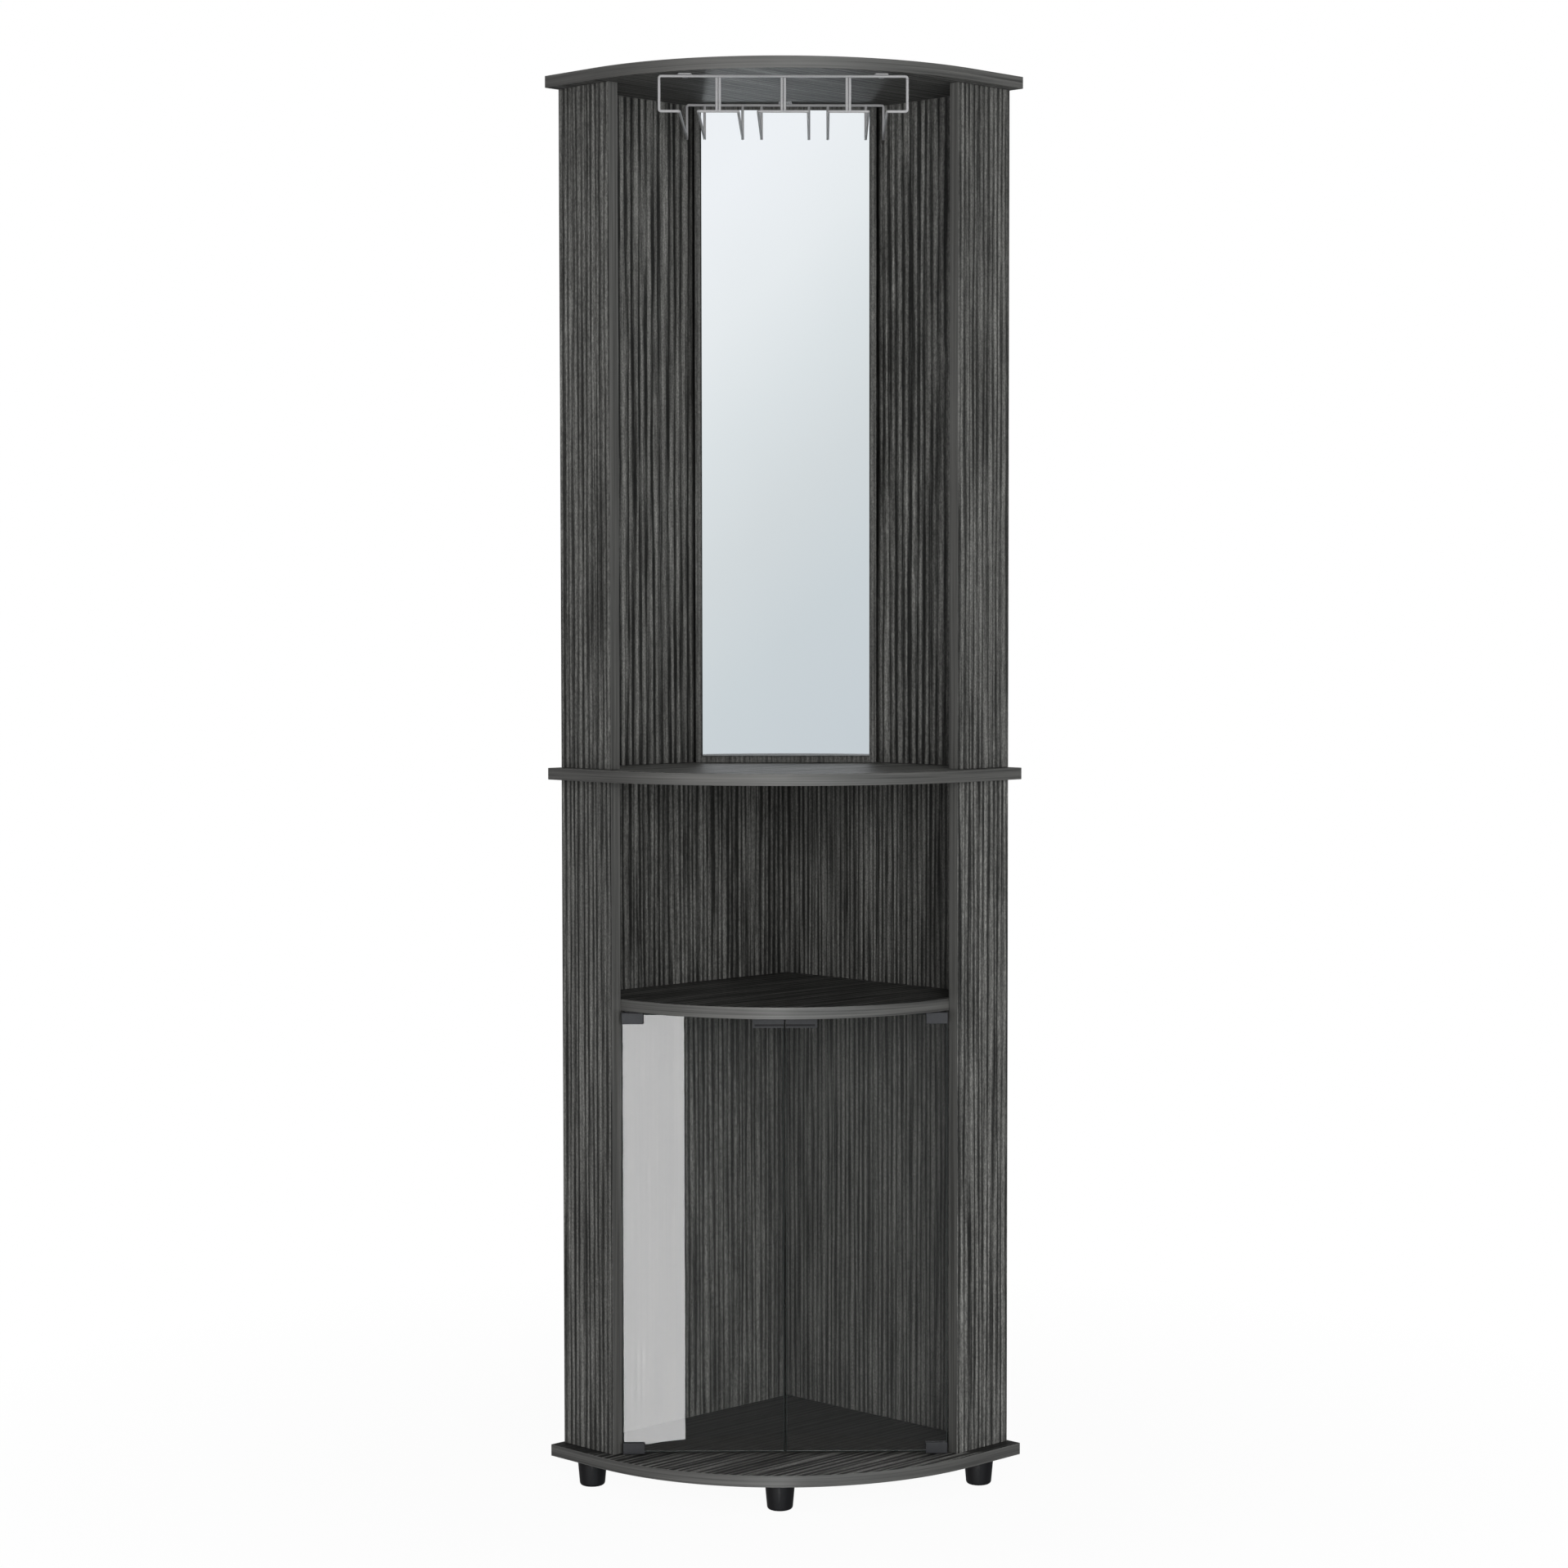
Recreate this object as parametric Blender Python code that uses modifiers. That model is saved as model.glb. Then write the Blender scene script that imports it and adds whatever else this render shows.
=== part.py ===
# Corner bar cabinet: three rounded plates, two carcasses, mirror, stemware rack and two glass doors.
# Metres, +Z up, front towards -Y. The origin is on the floor under the middle of the plan's box.
import bpy
import bmesh
from math import cos, pi, radians, sin, sqrt, tau
from mathutils import Vector

# Boards
BOARD = 0.015
PLATE_SIDE = 0.430
PLATE_FRONT_RADIUS = 0.333
ARC_STEPS = 48
WALL_SETBACK = 0.0055
SIDE_SETBACK = 0.018
SIDE_PANEL_WIDTH = 0.096
SHELF_FRONT_RADIUS = 0.273
EDGE_CHAMFER = 0.0005

# Heights between boards
FOOT_HEIGHT = 0.034
LOWER_BAY_HEIGHT = 0.8625
UPPER_BAY_HEIGHT = 0.8645
CUPBOARD_HEIGHT = 0.570

# Clearances, and the overrun of every cutter
GAP = 0.0003
OVERRUN = 0.002
MERGE = 0.00001

# Mirror, the board that carries it and the tape between them
MIRROR_WIDTH = 0.2216
MIRROR_BOTTOM_MARGIN = 0.0091
MIRROR_TOP_MARGIN = 0.0076
MIRROR_GLASS = 0.003
MIRROR_BOARD_WIDTH = 0.239
TAPE_WIDTH = 0.120
TAPE_THICKNESS = 0.0008
TAPE_END_MARGIN = 0.040

# Feet
FOOT_TOP_RADIUS = 0.019
FOOT_BOTTOM_RADIUS = 0.016
FOOT_ROUND = 0.004
FOOT_RECESS_RADIUS = 0.006
FOOT_RECESS_DEPTH = 0.018
FOOT_FROM_SIDE = 0.028
FOOT_FROM_WALL = 0.049
FOOT_FROM_FRONT = 0.0285
FOOT_FRONT_OFFSET = 0.006
FOOT_SCREW = {"head_radius": 0.004, "head": 0.0025, "shank_radius": 0.002, "length": 0.027}

# Stemware rack
WIRE_RADIUS = 0.00175
WIRE_BEND = 0.004
RACK_WIDTH = 0.307
RACK_RAIL_WIDTH = 0.257
RACK_DEPTH = 0.244
RACK_FROM_FRONT = 0.047
RACK_DROP = 0.043
RACK_LOOP_SPACING = 0.0805
RACK_SIDE_LOOP_WIDTH = 0.0497
RACK_MIDDLE_LOOP_WIDTH = 0.062
RACK_HANGER_SPACING = 0.0038
RACK_TAB_LENGTH = 0.017
RACK_TAB_DEPTH = 0.022
RACK_TAB_THICKNESS = 0.0015
RACK_TAB_SPACING = 0.2435
RACK_TAB_AHEAD = 0.006
RACK_WELD = 0.0004
RACK_SCREW_BEHIND = 0.009
RACK_SCREW = {"head_radius": 0.0035, "head": 0.002, "shank_radius": 0.0015, "length": 0.0125}

# Glass doors and their pivots
GLASS = 0.004
GLASS_CHAMFER = 0.0004
DOOR_GAP = 0.002
PIVOT_INSET = 0.0134
PIVOT_LEAD = 0.0066
GLASS_BEYOND_PIVOT = 0.012
CLAMP_LENGTH = 0.028
CLAMP_HEIGHT = 0.0148
CLAMP_DEPTH = 0.011
CLAMP_BASE = 0.0008
CLAMP_FLOAT = 0.0013
CLAMP_CHAMFER = 0.0008
LINER = 0.0008
LINER_BRIDGE = 0.0005
LINER_MARGIN = 0.001
PIN_RADIUS = 0.0015
PIN_DEPTH = 0.008
BUSH_WALL = 0.0009
BUSH_FLANGE = 0.0012
BUSH_FLANGE_THICKNESS = 0.0006
BUSH_PAST_PIN = 0.001

# Touch catch under the shelf, and the strike plates on the glass
STRIKE_LENGTH = 0.040
STRIKE_HEIGHT = 0.019
STRIKE_SHEET = 0.0008
STRIKE_GROOVE_DEPTH = 0.0004
STRIKE_GROOVE_HEIGHT = 0.0026
STRIKE_GROOVE_RISE = 0.002
STRIKE_GROOVE_MARGIN = 0.003
CATCH_LENGTH = 0.074
CATCH_DEPTH = 0.038
CATCH_HEIGHT = 0.014
CATCH_CHAMFER = 0.001
CATCH_BORE_DEPTH = 0.026
CATCH_SCREW_MARGIN = 0.009
CATCH_SCREW = {"head_radius": 0.003, "head": 0.002, "shank_radius": 0.0015, "length": 0.022}
PLUNGER_RADIUS = 0.004
PLUNGER_CHAMFER = 0.0006
PLUNGER_SHOWS = 0.0046
PLUNGER_IN_BORE = 0.014
SPRING_RADIUS = 0.0028
SPRING_WIRE_RADIUS = 0.0003
SPRING_TURNS = 5
SPRING_POINTS_PER_TURN = 10
SPRING_RESOLUTION = 1

# Facets of round pieces
SCREW_SIDES = 8
PIN_SIDES = 12
FOOT_SIDES = 16
FOOT_ROUND_STEPS = 2
WIRE_RESOLUTION = 2
BEND_STEPS = 3

# Colour, roughness and metallic value of each finish
FINISHES = {
    "charcoal board": ((0.035, 0.035, 0.034), 0.55, 0.0),
    "mirror": ((0.80, 0.84, 0.86), 0.03, 1.0),
    "foam tape": ((0.60, 0.60, 0.58), 0.80, 0.0),
    "grey wire": ((0.28, 0.28, 0.29), 0.35, 0.8),
    "clear glass": ((0.70, 0.72, 0.70), 0.05, 0.0),
    "dark metal": ((0.045, 0.048, 0.055), 0.40, 0.6),
    "rubber": ((0.02, 0.02, 0.02), 0.80, 0.0),
    "steel": ((0.45, 0.45, 0.46), 0.35, 1.0),
    "nylon": ((0.65, 0.65, 0.62), 0.50, 0.0),
    "black plastic": ((0.012, 0.012, 0.013), 0.45, 0.0),
}

# Levels of the boards, from the floor up
plate_z = FOOT_HEIGHT
floor_z = plate_z + BOARD
ceiling_z = floor_z + CUPBOARD_HEIGHT
middle_z = floor_z + LOWER_BAY_HEIGHT
counter_z = middle_z + BOARD
roof_z = counter_z + UPPER_BAY_HEIGHT

# The plan: the room's corner is at (0, corner_y), and the front arc's centre lies on the diagonal from it
arc_inset = PLATE_SIDE - PLATE_FRONT_RADIUS
plan_depth = arc_inset * sqrt(2) + PLATE_FRONT_RADIUS
corner_y = plan_depth / 2
front_y = corner_y - plan_depth
side_outer = PLATE_SIDE - SIDE_SETBACK
side_inner = side_outer - BOARD
side_front = WALL_SETBACK + SIDE_PANEL_WIDTH
back_inner = WALL_SETBACK + BOARD
back_end = side_inner - GAP

BAYS = {"lower": (floor_z, middle_z), "upper": (counter_z, roof_z)}
SIDES = {"left": -1, "right": 1}


def start_clean():
    for old in list(bpy.data.objects):
        bpy.data.objects.remove(old, do_unlink=True)


def new_collection(name):
    collection = bpy.data.collections.new(name)
    bpy.context.scene.collection.children.link(collection)
    return collection


start_clean()
cabinet = new_collection("corner_bar_cabinet")
cutters = new_collection("cutters")


# Places and directions
UPSIDE_DOWN = (pi, 0, 0)
FACING_BACK = (radians(-90), 0, 0)


def wall_point(side, along, out, height):
    """A point measured along a wall from the room's corner and out from it; side is 1 right, -1 left."""
    return Vector((side * (along - out) / sqrt(2), corner_y - (along + out) / sqrt(2), height))


def wall_turn(side):
    return (0, 0, radians(-90) + side * radians(45))


def between(low, high, share):
    return low + share * (high - low)


# Shapes


def finished_mesh(maker):
    """The welded mesh of an object's curve or modifiers; the object itself is removed."""
    bpy.context.view_layer.update()
    graph = bpy.context.evaluated_depsgraph_get()
    mesh = bpy.data.meshes.new_from_object(maker.evaluated_get(graph))
    bpy.data.objects.remove(maker, do_unlink=True)
    shape = bmesh.new()
    shape.from_mesh(mesh)
    bmesh.ops.remove_doubles(shape, verts=shape.verts, dist=MERGE)
    bmesh.ops.recalc_face_normals(shape, faces=shape.faces)
    shape.to_mesh(mesh)
    shape.free()
    return mesh


def block_mesh(size):
    shape = bmesh.new()
    bmesh.ops.create_cube(shape, size=1)
    bmesh.ops.scale(shape, vec=size, verts=shape.verts)
    mesh = bpy.data.meshes.new("block")
    shape.to_mesh(mesh)
    shape.free()
    return mesh


def cylinder_mesh(radius, length, sides=PIN_SIDES):
    shape = bmesh.new()
    bmesh.ops.create_cone(
        shape, cap_ends=True, segments=sides, radius1=radius, radius2=radius, depth=length
    )
    mesh = bpy.data.meshes.new("cylinder")
    shape.to_mesh(mesh)
    shape.free()
    return mesh


def outline_mesh(outline, thickness):
    """A flat outline made a board of the given thickness, centred on its own height."""
    curve = bpy.data.curves.new("outline", "CURVE")
    curve.dimensions = "2D"
    curve.fill_mode = "BOTH"
    curve.extrude = thickness / 2
    spline = curve.splines.new("POLY")
    spline.points.add(len(outline) - 1)
    for point, place in zip(spline.points, outline):
        point.co = (place[0], place[1], 0, 1)
    spline.use_cyclic_u = True
    maker = bpy.data.objects.new("outline", curve)
    cutters.objects.link(maker)
    return finished_mesh(maker)


def wire_mesh(points, radius=WIRE_RADIUS, resolution=WIRE_RESOLUTION):
    """A bent wire through the given points, with filled ends."""
    curve = bpy.data.curves.new("wire", "CURVE")
    curve.dimensions = "3D"
    curve.bevel_depth = radius
    curve.bevel_resolution = resolution
    curve.use_fill_caps = True
    spline = curve.splines.new("POLY")
    spline.points.add(len(points) - 1)
    for point, place in zip(spline.points, points):
        point.co = (*place, 1)
    maker = bpy.data.objects.new("wire", curve)
    cutters.objects.link(maker)
    return finished_mesh(maker)


def bent(corners):
    """The route of a wire through square corners, each rounded to the wire's bend."""
    route = [Vector(corners[0])]
    for before, corner, after in zip(corners, corners[1:], corners[2:]):
        corner = Vector(corner)
        inward = (corner - Vector(before)).normalized() * WIRE_BEND
        onward = (Vector(after) - corner).normalized() * WIRE_BEND
        for step in range(BEND_STEPS + 1):
            angle = radians(90) * step / BEND_STEPS
            route.append(corner - inward * (1 - sin(angle)) + onward * (1 - cos(angle)))
    return route + [Vector(corners[-1])]


def turned_mesh(profile, sides=PIN_SIDES, closed=False):
    """A profile of (radius, height) points turned round +Z, listed down its outer side."""
    last = len(profile) - 1
    edges = [(i, i + 1) for i in range(last)]
    if closed:
        edges.append((last, 0))
    mesh = bpy.data.meshes.new("profile")
    mesh.from_pydata([(radius, 0, height) for radius, height in profile], edges, [])
    maker = bpy.data.objects.new("profile", mesh)
    cutters.objects.link(maker)
    turn = maker.modifiers.new("turn", "SCREW")
    turn.steps = sides
    turn.render_steps = sides
    turn.use_merge_vertices = True
    turn.merge_threshold = MERGE
    return finished_mesh(maker)


def screw_mesh(sizes, growth=0, lead=0):
    """A screw that points up from its head's face at 0; growth and lead make the hole for it."""
    head = sizes["head_radius"] + growth
    shank = sizes["shank_radius"] + growth
    top = sizes["length"] + growth
    neck = sizes["head"] + growth
    profile = [(0, top), (shank, top), (shank, neck), (head, neck), (head, -lead), (0, -lead)]
    return turned_mesh(profile, SCREW_SIDES)


def shank_hole_mesh(sizes):
    shank = sizes["shank_radius"] + GAP
    top = sizes["length"] + GAP
    return turned_mesh([(0, top), (shank, top), (shank, 0), (0, 0)], SCREW_SIDES)


# Objects


def add_part(name, mesh, finish, place=(0, 0, 0), turn=(0, 0, 0), parent=None):
    """One named sub-part with its own material; place is in the world, also under a parent."""
    mesh.name = name
    part = bpy.data.objects.new(name, mesh)
    part.location = Vector(place)
    part.rotation_euler = turn
    if parent:
        part.parent = parent
        part.location -= parent.location
    cabinet.objects.link(part)
    colour, roughness, metallic = FINISHES[finish]
    material = bpy.data.materials.new(name)
    material.use_nodes = True
    shader = material.node_tree.nodes["Principled BSDF"]
    shader.inputs["Base Color"].default_value = (*colour, 1)
    shader.inputs["Roughness"].default_value = roughness
    shader.inputs["Metallic"].default_value = metallic
    mesh.materials.clear()
    mesh.materials.append(material)
    return part


def add_pivot(name, place):
    """An empty on a joint's axis, which carries the pieces that move with it."""
    pivot = bpy.data.objects.new(name, None)
    pivot.location = Vector(place)
    cabinet.objects.link(pivot)
    return pivot


def add_cutter(name, mesh, place, turn=(0, 0, 0)):
    cutter = bpy.data.objects.new(name, mesh)
    cutter.location = Vector(place)
    cutter.rotation_euler = turn
    cutter.hide_render = True
    cutter.display_type = "WIRE"
    cutters.objects.link(cutter)
    return cutter


def add_screw(name, sizes, place, sunk=False):
    """A screw driven upwards, and the cutter of its hole, which takes in the head of a sunk one."""
    shade_round(add_part(name, screw_mesh(sizes), "steel", place))
    hole = screw_mesh(sizes, GAP, OVERRUN) if sunk else shank_hole_mesh(sizes)
    return add_cutter(f"{name}_hole", hole, place)


def chamfer(part, width):
    bevel = part.modifiers.new("chamfer", "BEVEL")
    bevel.width = width
    bevel.segments = 1
    bevel.limit_method = "ANGLE"


def combine(part, other, operation):
    boolean = part.modifiers.new(other.name, "BOOLEAN")
    boolean.operation = operation
    boolean.solver = "EXACT"
    boolean.object = other


def cut(part, *holes):
    for hole in holes:
        combine(part, hole, "DIFFERENCE")


def weld(part, name, mesh, place=(0, 0, 0)):
    """Joins a shape to a part so that both are one piece."""
    combine(part, add_cutter(name, mesh, place), "UNION")


def shade_round(part):
    part.data.shade_smooth()
    part.data.set_sharp_from_angle(angle=radians(35))


# Boards


def rounded_outline(near, far, radius):
    """A square between two distances from the walls, whose front corner is a quarter circle."""
    centre = far - radius
    right = []
    for step in range(ARC_STEPS + 1):
        angle = radians(90) * step / ARC_STEPS
        right.append(wall_point(1, centre + radius * cos(angle), centre + radius * sin(angle), 0))
    outline = [wall_point(1, near, near, 0), wall_point(1, far, near, 0), *right, wall_point(-1, far, near, 0)]
    return [(point.x, point.y) for point in outline]


def build_plates():
    """The three plates share one plan; the shelf fits between the panels."""
    levels = {"top_panel": roof_z, "middle_panel": middle_z, "bottom_panel": plate_z}
    boards = {}
    for name, low in levels.items():
        mesh = outline_mesh(rounded_outline(0, PLATE_SIDE, PLATE_FRONT_RADIUS), BOARD)
        boards[name] = add_part(name, mesh, "charcoal board", (0, 0, low + BOARD / 2))
    mesh = outline_mesh(rounded_outline(back_inner + GAP, back_end, SHELF_FRONT_RADIUS), BOARD)
    boards["inner_shelf"] = add_part("inner_shelf", mesh, "charcoal board", (0, 0, ceiling_z + BOARD / 2))
    for board in boards.values():
        chamfer(board, EDGE_CHAMFER)
    return boards


def add_wall_board(name, side, along, out, height):
    """A board square to the walls, from its ranges along the wall, out of it and up."""
    size = (along[1] - along[0], out[1] - out[0], height[1] - height[0])
    middle = wall_point(side, sum(along) / 2, sum(out) / 2, sum(height) / 2)
    board = add_part(name, block_mesh(size), "charcoal board", middle, wall_turn(side))
    chamfer(board, EDGE_CHAMFER)


def build_panels():
    """The left back panel runs into the corner, and the right one stops against it."""
    side_out = (WALL_SETBACK, side_front)
    back_out = (WALL_SETBACK, back_inner)
    back_starts = {"left": WALL_SETBACK, "right": back_inner + GAP}
    for bay, (low, high) in BAYS.items():
        height = (low + GAP, high - GAP)
        for name, side in SIDES.items():
            add_wall_board(f"{bay}_{name}_side_panel", side, (side_inner, side_outer), side_out, height)
            add_wall_board(f"{bay}_{name}_back_panel", side, (back_starts[name], back_end), back_out, height)


def build_mirror():
    """The mirror's board stands across the corner, with its rear edges against the back panels."""
    middle_height = (counter_z + roof_z) / 2
    rear = corner_y - MIRROR_BOARD_WIDTH / 2 - (back_inner + GAP) * sqrt(2)
    front = rear - BOARD
    size = (MIRROR_BOARD_WIDTH, BOARD, UPPER_BAY_HEIGHT - 2 * GAP)
    place = (0, (front + rear) / 2, middle_height)
    chamfer(add_part("mirror_board", block_mesh(size), "charcoal board", place), EDGE_CHAMFER)

    low = counter_z + MIRROR_BOTTOM_MARGIN
    high = roof_z - MIRROR_TOP_MARGIN
    size = (TAPE_WIDTH, TAPE_THICKNESS, high - low - 2 * TAPE_END_MARGIN)
    tape_y = front - GAP - TAPE_THICKNESS / 2
    add_part("mirror_tape", block_mesh(size), "foam tape", (0, tape_y, (low + high) / 2))

    size = (MIRROR_WIDTH, MIRROR_GLASS, high - low)
    glass_y = front - 2 * GAP - TAPE_THICKNESS - MIRROR_GLASS / 2
    chamfer(add_part("mirror", block_mesh(size), "mirror", (0, glass_y, (low + high) / 2)), GLASS_CHAMFER)


# Feet


def foot_profile():
    """Down the tapered outside and round its lower edge, then up the screw recess and hole."""
    top = FOOT_HEIGHT - GAP
    hole = FOOT_SCREW["shank_radius"] + GAP
    profile = [(FOOT_TOP_RADIUS, top)]
    for step in range(FOOT_ROUND_STEPS + 1):
        angle = radians(90) * step / FOOT_ROUND_STEPS
        x = FOOT_BOTTOM_RADIUS - FOOT_ROUND * (1 - cos(angle))
        profile.append((x, FOOT_ROUND * (1 - sin(angle))))
    profile += [(FOOT_RECESS_RADIUS, 0), (FOOT_RECESS_RADIUS, FOOT_RECESS_DEPTH)]
    profile += [(hole, FOOT_RECESS_DEPTH), (hole, top)]
    return profile


def build_feet(bottom_panel):
    """Two feet near the plate's tips, one at the front and one towards the room's corner."""
    along = PLATE_SIDE - FOOT_FROM_SIDE
    places = {
        "left": wall_point(SIDES["left"], along, FOOT_FROM_WALL, 0),
        "right": wall_point(SIDES["right"], along, FOOT_FROM_WALL, 0),
        "front": Vector((-FOOT_FRONT_OFFSET, front_y + FOOT_FROM_FRONT, 0)),
        "rear": wall_point(SIDES["right"], FOOT_FROM_WALL, FOOT_FROM_WALL, 0),
    }
    foot = turned_mesh(foot_profile(), FOOT_SIDES, closed=True)
    head_z = FOOT_RECESS_DEPTH - GAP - FOOT_SCREW["head"]
    for name, place in places.items():
        shade_round(add_part(f"{name}_foot", foot.copy(), "black plastic", place))
        hole = add_screw(f"{name}_foot_screw", FOOT_SCREW, place + Vector((0, 0, head_z)))
        cut(bottom_panel, hole)


# Stemware rack, hung under the top panel by three tabs
rack_tab_z = roof_z - GAP - RACK_TAB_THICKNESS
rack_bar_z = rack_tab_z - WIRE_RADIUS + RACK_WELD
rack_rail_z = rack_bar_z - RACK_DROP
rack_front_y = front_y + RACK_FROM_FRONT
rack_rear_y = rack_front_y + RACK_DEPTH
rack_join = WIRE_RADIUS + GAP
RACK_LOOPS = {
    "left": (-RACK_LOOP_SPACING, RACK_SIDE_LOOP_WIDTH),
    "middle": (0, RACK_MIDDLE_LOOP_WIDTH),
    "right": (RACK_LOOP_SPACING, RACK_SIDE_LOOP_WIDTH),
}


def add_wire(name, points):
    part = add_part(name, wire_mesh(bent(points)), "grey wire")
    shade_round(part)
    return part


def add_tab(bar, name, x, bar_y, inward, top_panel):
    """A flat tab welded on a bar, screwed up into the top panel."""
    tab = block_mesh((RACK_TAB_LENGTH, RACK_TAB_DEPTH, RACK_TAB_THICKNESS))
    tab_y = bar_y + inward * (RACK_TAB_DEPTH / 2 - RACK_TAB_AHEAD)
    weld(bar, f"{name}_tab", tab, (x, tab_y, rack_tab_z + RACK_TAB_THICKNESS / 2))
    head_z = rack_tab_z - GAP - RACK_SCREW["head"]
    hole = add_screw(f"{name}_screw", RACK_SCREW, (x, bar_y + inward * RACK_SCREW_BEHIND, head_z))
    cut(bar, hole)
    cut(top_panel, hole)


def build_rack_front(top_panel):
    """The front bar, and at its ends the wires that turn down, inwards and back as the outer rails."""
    end = RACK_WIDTH / 2 + WIRE_RADIUS
    bar = add_wire("rack_front_bar", [(-end, rack_front_y, rack_bar_z), (end, rack_front_y, rack_bar_z)])
    for name, side in SIDES.items():
        add_tab(bar, f"rack_{name}", side * RACK_TAB_SPACING / 2, rack_front_y, 1, top_panel)
        leg_x = side * RACK_WIDTH / 2
        rail_x = side * RACK_RAIL_WIDTH / 2
        add_wire(
            f"rack_{name}_rail",
            [
                (leg_x, rack_front_y, rack_bar_z - rack_join),
                (leg_x, rack_front_y, rack_rail_z),
                (rail_x, rack_front_y, rack_rail_z),
                (rail_x, rack_rear_y - rack_join, rack_rail_z),
            ],
        )


def build_rack_loops():
    """The U-shaped loops whose rails carry the glasses' feet, each held up by a pair of wires."""
    rail_end = rack_rear_y - rack_join
    for name, (middle, width) in RACK_LOOPS.items():
        left = middle - width / 2
        right = middle + width / 2
        loop = add_wire(
            f"rack_{name}_loop",
            [
                (left, rail_end, rack_rail_z),
                (left, rack_front_y, rack_rail_z),
                (right, rack_front_y, rack_rail_z),
                (right, rail_end, rack_rail_z),
            ],
        )
        for side_name, side in SIDES.items():
            x = middle + side * RACK_HANGER_SPACING / 2
            high = rack_bar_z - rack_join
            hanger = wire_mesh([(x, rack_front_y, rack_rail_z), (x, rack_front_y, high)])
            weld(loop, f"rack_{name}_{side_name}_hanger", hanger)


def build_rack_rear(top_panel):
    """The rear bar turns down at both ends, and an upright meets each rail of the loops."""
    half = RACK_RAIL_WIDTH / 2
    low = rack_rail_z - WIRE_RADIUS
    frame = add_wire(
        "rack_rear_frame",
        [
            (-half, rack_rear_y, low),
            (-half, rack_rear_y, rack_bar_z),
            (half, rack_rear_y, rack_bar_z),
            (half, rack_rear_y, low),
        ],
    )
    for name, (middle, width) in RACK_LOOPS.items():
        for side_name, side in SIDES.items():
            x = middle + side * width / 2
            upright = wire_mesh([(x, rack_rear_y, low), (x, rack_rear_y, rack_bar_z)])
            weld(frame, f"rack_{name}_{side_name}_upright", upright)
    add_tab(frame, "rack_rear", 0, rack_rear_y, -1, top_panel)


# Glass doors: the pivots stand ahead of the side panels' inner front corners
panel_corner = wall_point(1, side_inner, side_front, 0)
pivot_x = panel_corner.x - PIVOT_INSET
pivot_y = panel_corner.y - PIVOT_LEAD
glass_outer = pivot_x + GLASS_BEYOND_PIVOT
glass_inner = DOOR_GAP / 2
glass_edge = CLAMP_FLOAT + CLAMP_BASE + GAP + LINER_BRIDGE + GAP
glass_low = floor_z + glass_edge
glass_high = ceiling_z - glass_edge
clamp_slot = GLASS + 2 * (LINER + 2 * GAP)
bush_radius = PIN_RADIUS + GAP + BUSH_WALL
PIVOT_ENDS = {"lower": (floor_z, 1), "upper": (ceiling_z, -1)}


def add_clamp(name, side, end, pivot):
    """A metal clamp on the glass's corner, with the pivot pin's hole in its base."""
    board_z, up = PIVOT_ENDS[end]
    x = side * (glass_outer - CLAMP_LENGTH / 2)
    z = board_z + up * (CLAMP_FLOAT + CLAMP_HEIGHT / 2)
    size = (CLAMP_LENGTH, CLAMP_DEPTH, CLAMP_HEIGHT)
    clamp = add_part(f"{name}_clamp", block_mesh(size), "dark metal", (x, pivot_y, z), parent=pivot)
    chamfer(clamp, CLAMP_CHAMFER)
    slot_height = CLAMP_HEIGHT - CLAMP_BASE + OVERRUN
    slot = block_mesh((CLAMP_LENGTH + 2 * OVERRUN, clamp_slot, slot_height))
    slot_z = board_z + up * (CLAMP_FLOAT + CLAMP_BASE + slot_height / 2)
    cut(clamp, add_cutter(f"{name}_clamp_slot", slot, (x, pivot_y, slot_z)))
    pin_hole = cylinder_mesh(PIN_RADIUS + GAP, CLAMP_BASE + 2 * OVERRUN)
    pin_z = board_z + up * (CLAMP_FLOAT + CLAMP_BASE / 2)
    cut(clamp, add_cutter(f"{name}_clamp_pin_hole", pin_hole, (side * pivot_x, pivot_y, pin_z)))


def add_clamp_liner(name, side, end, pivot):
    """A rubber channel round the glass's edge, inside the clamp."""
    board_z, up = PIVOT_ENDS[end]
    base = CLAMP_FLOAT + CLAMP_BASE + GAP
    height = CLAMP_HEIGHT - CLAMP_BASE - GAP - LINER_MARGIN
    length = CLAMP_LENGTH - 2 * LINER_MARGIN
    x = side * (glass_outer - CLAMP_LENGTH / 2)
    z = board_z + up * (base + height / 2)
    size = (length, GLASS + 2 * (GAP + LINER), height)
    liner = add_part(f"{name}_clamp_liner", block_mesh(size), "rubber", (x, pivot_y, z), parent=pivot)
    groove_height = height - LINER_BRIDGE + OVERRUN
    groove = block_mesh((length + 2 * OVERRUN, GLASS + 2 * GAP, groove_height))
    groove_z = board_z + up * (base + LINER_BRIDGE + groove_height / 2)
    cut(liner, add_cutter(f"{name}_clamp_liner_groove", groove, (x, pivot_y, groove_z)))


def add_pivot_pin(name, side, end, pivot):
    """The pin runs from the clamp's base into the bush in the board."""
    board_z, up = PIVOT_ENDS[end]
    length = PIN_DEPTH + CLAMP_FLOAT + CLAMP_BASE
    z = board_z + up * (length / 2 - PIN_DEPTH)
    place = (side * pivot_x, pivot_y, z)
    shade_round(add_part(f"{name}_pivot_pin", cylinder_mesh(PIN_RADIUS, length), "steel", place, parent=pivot))


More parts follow.
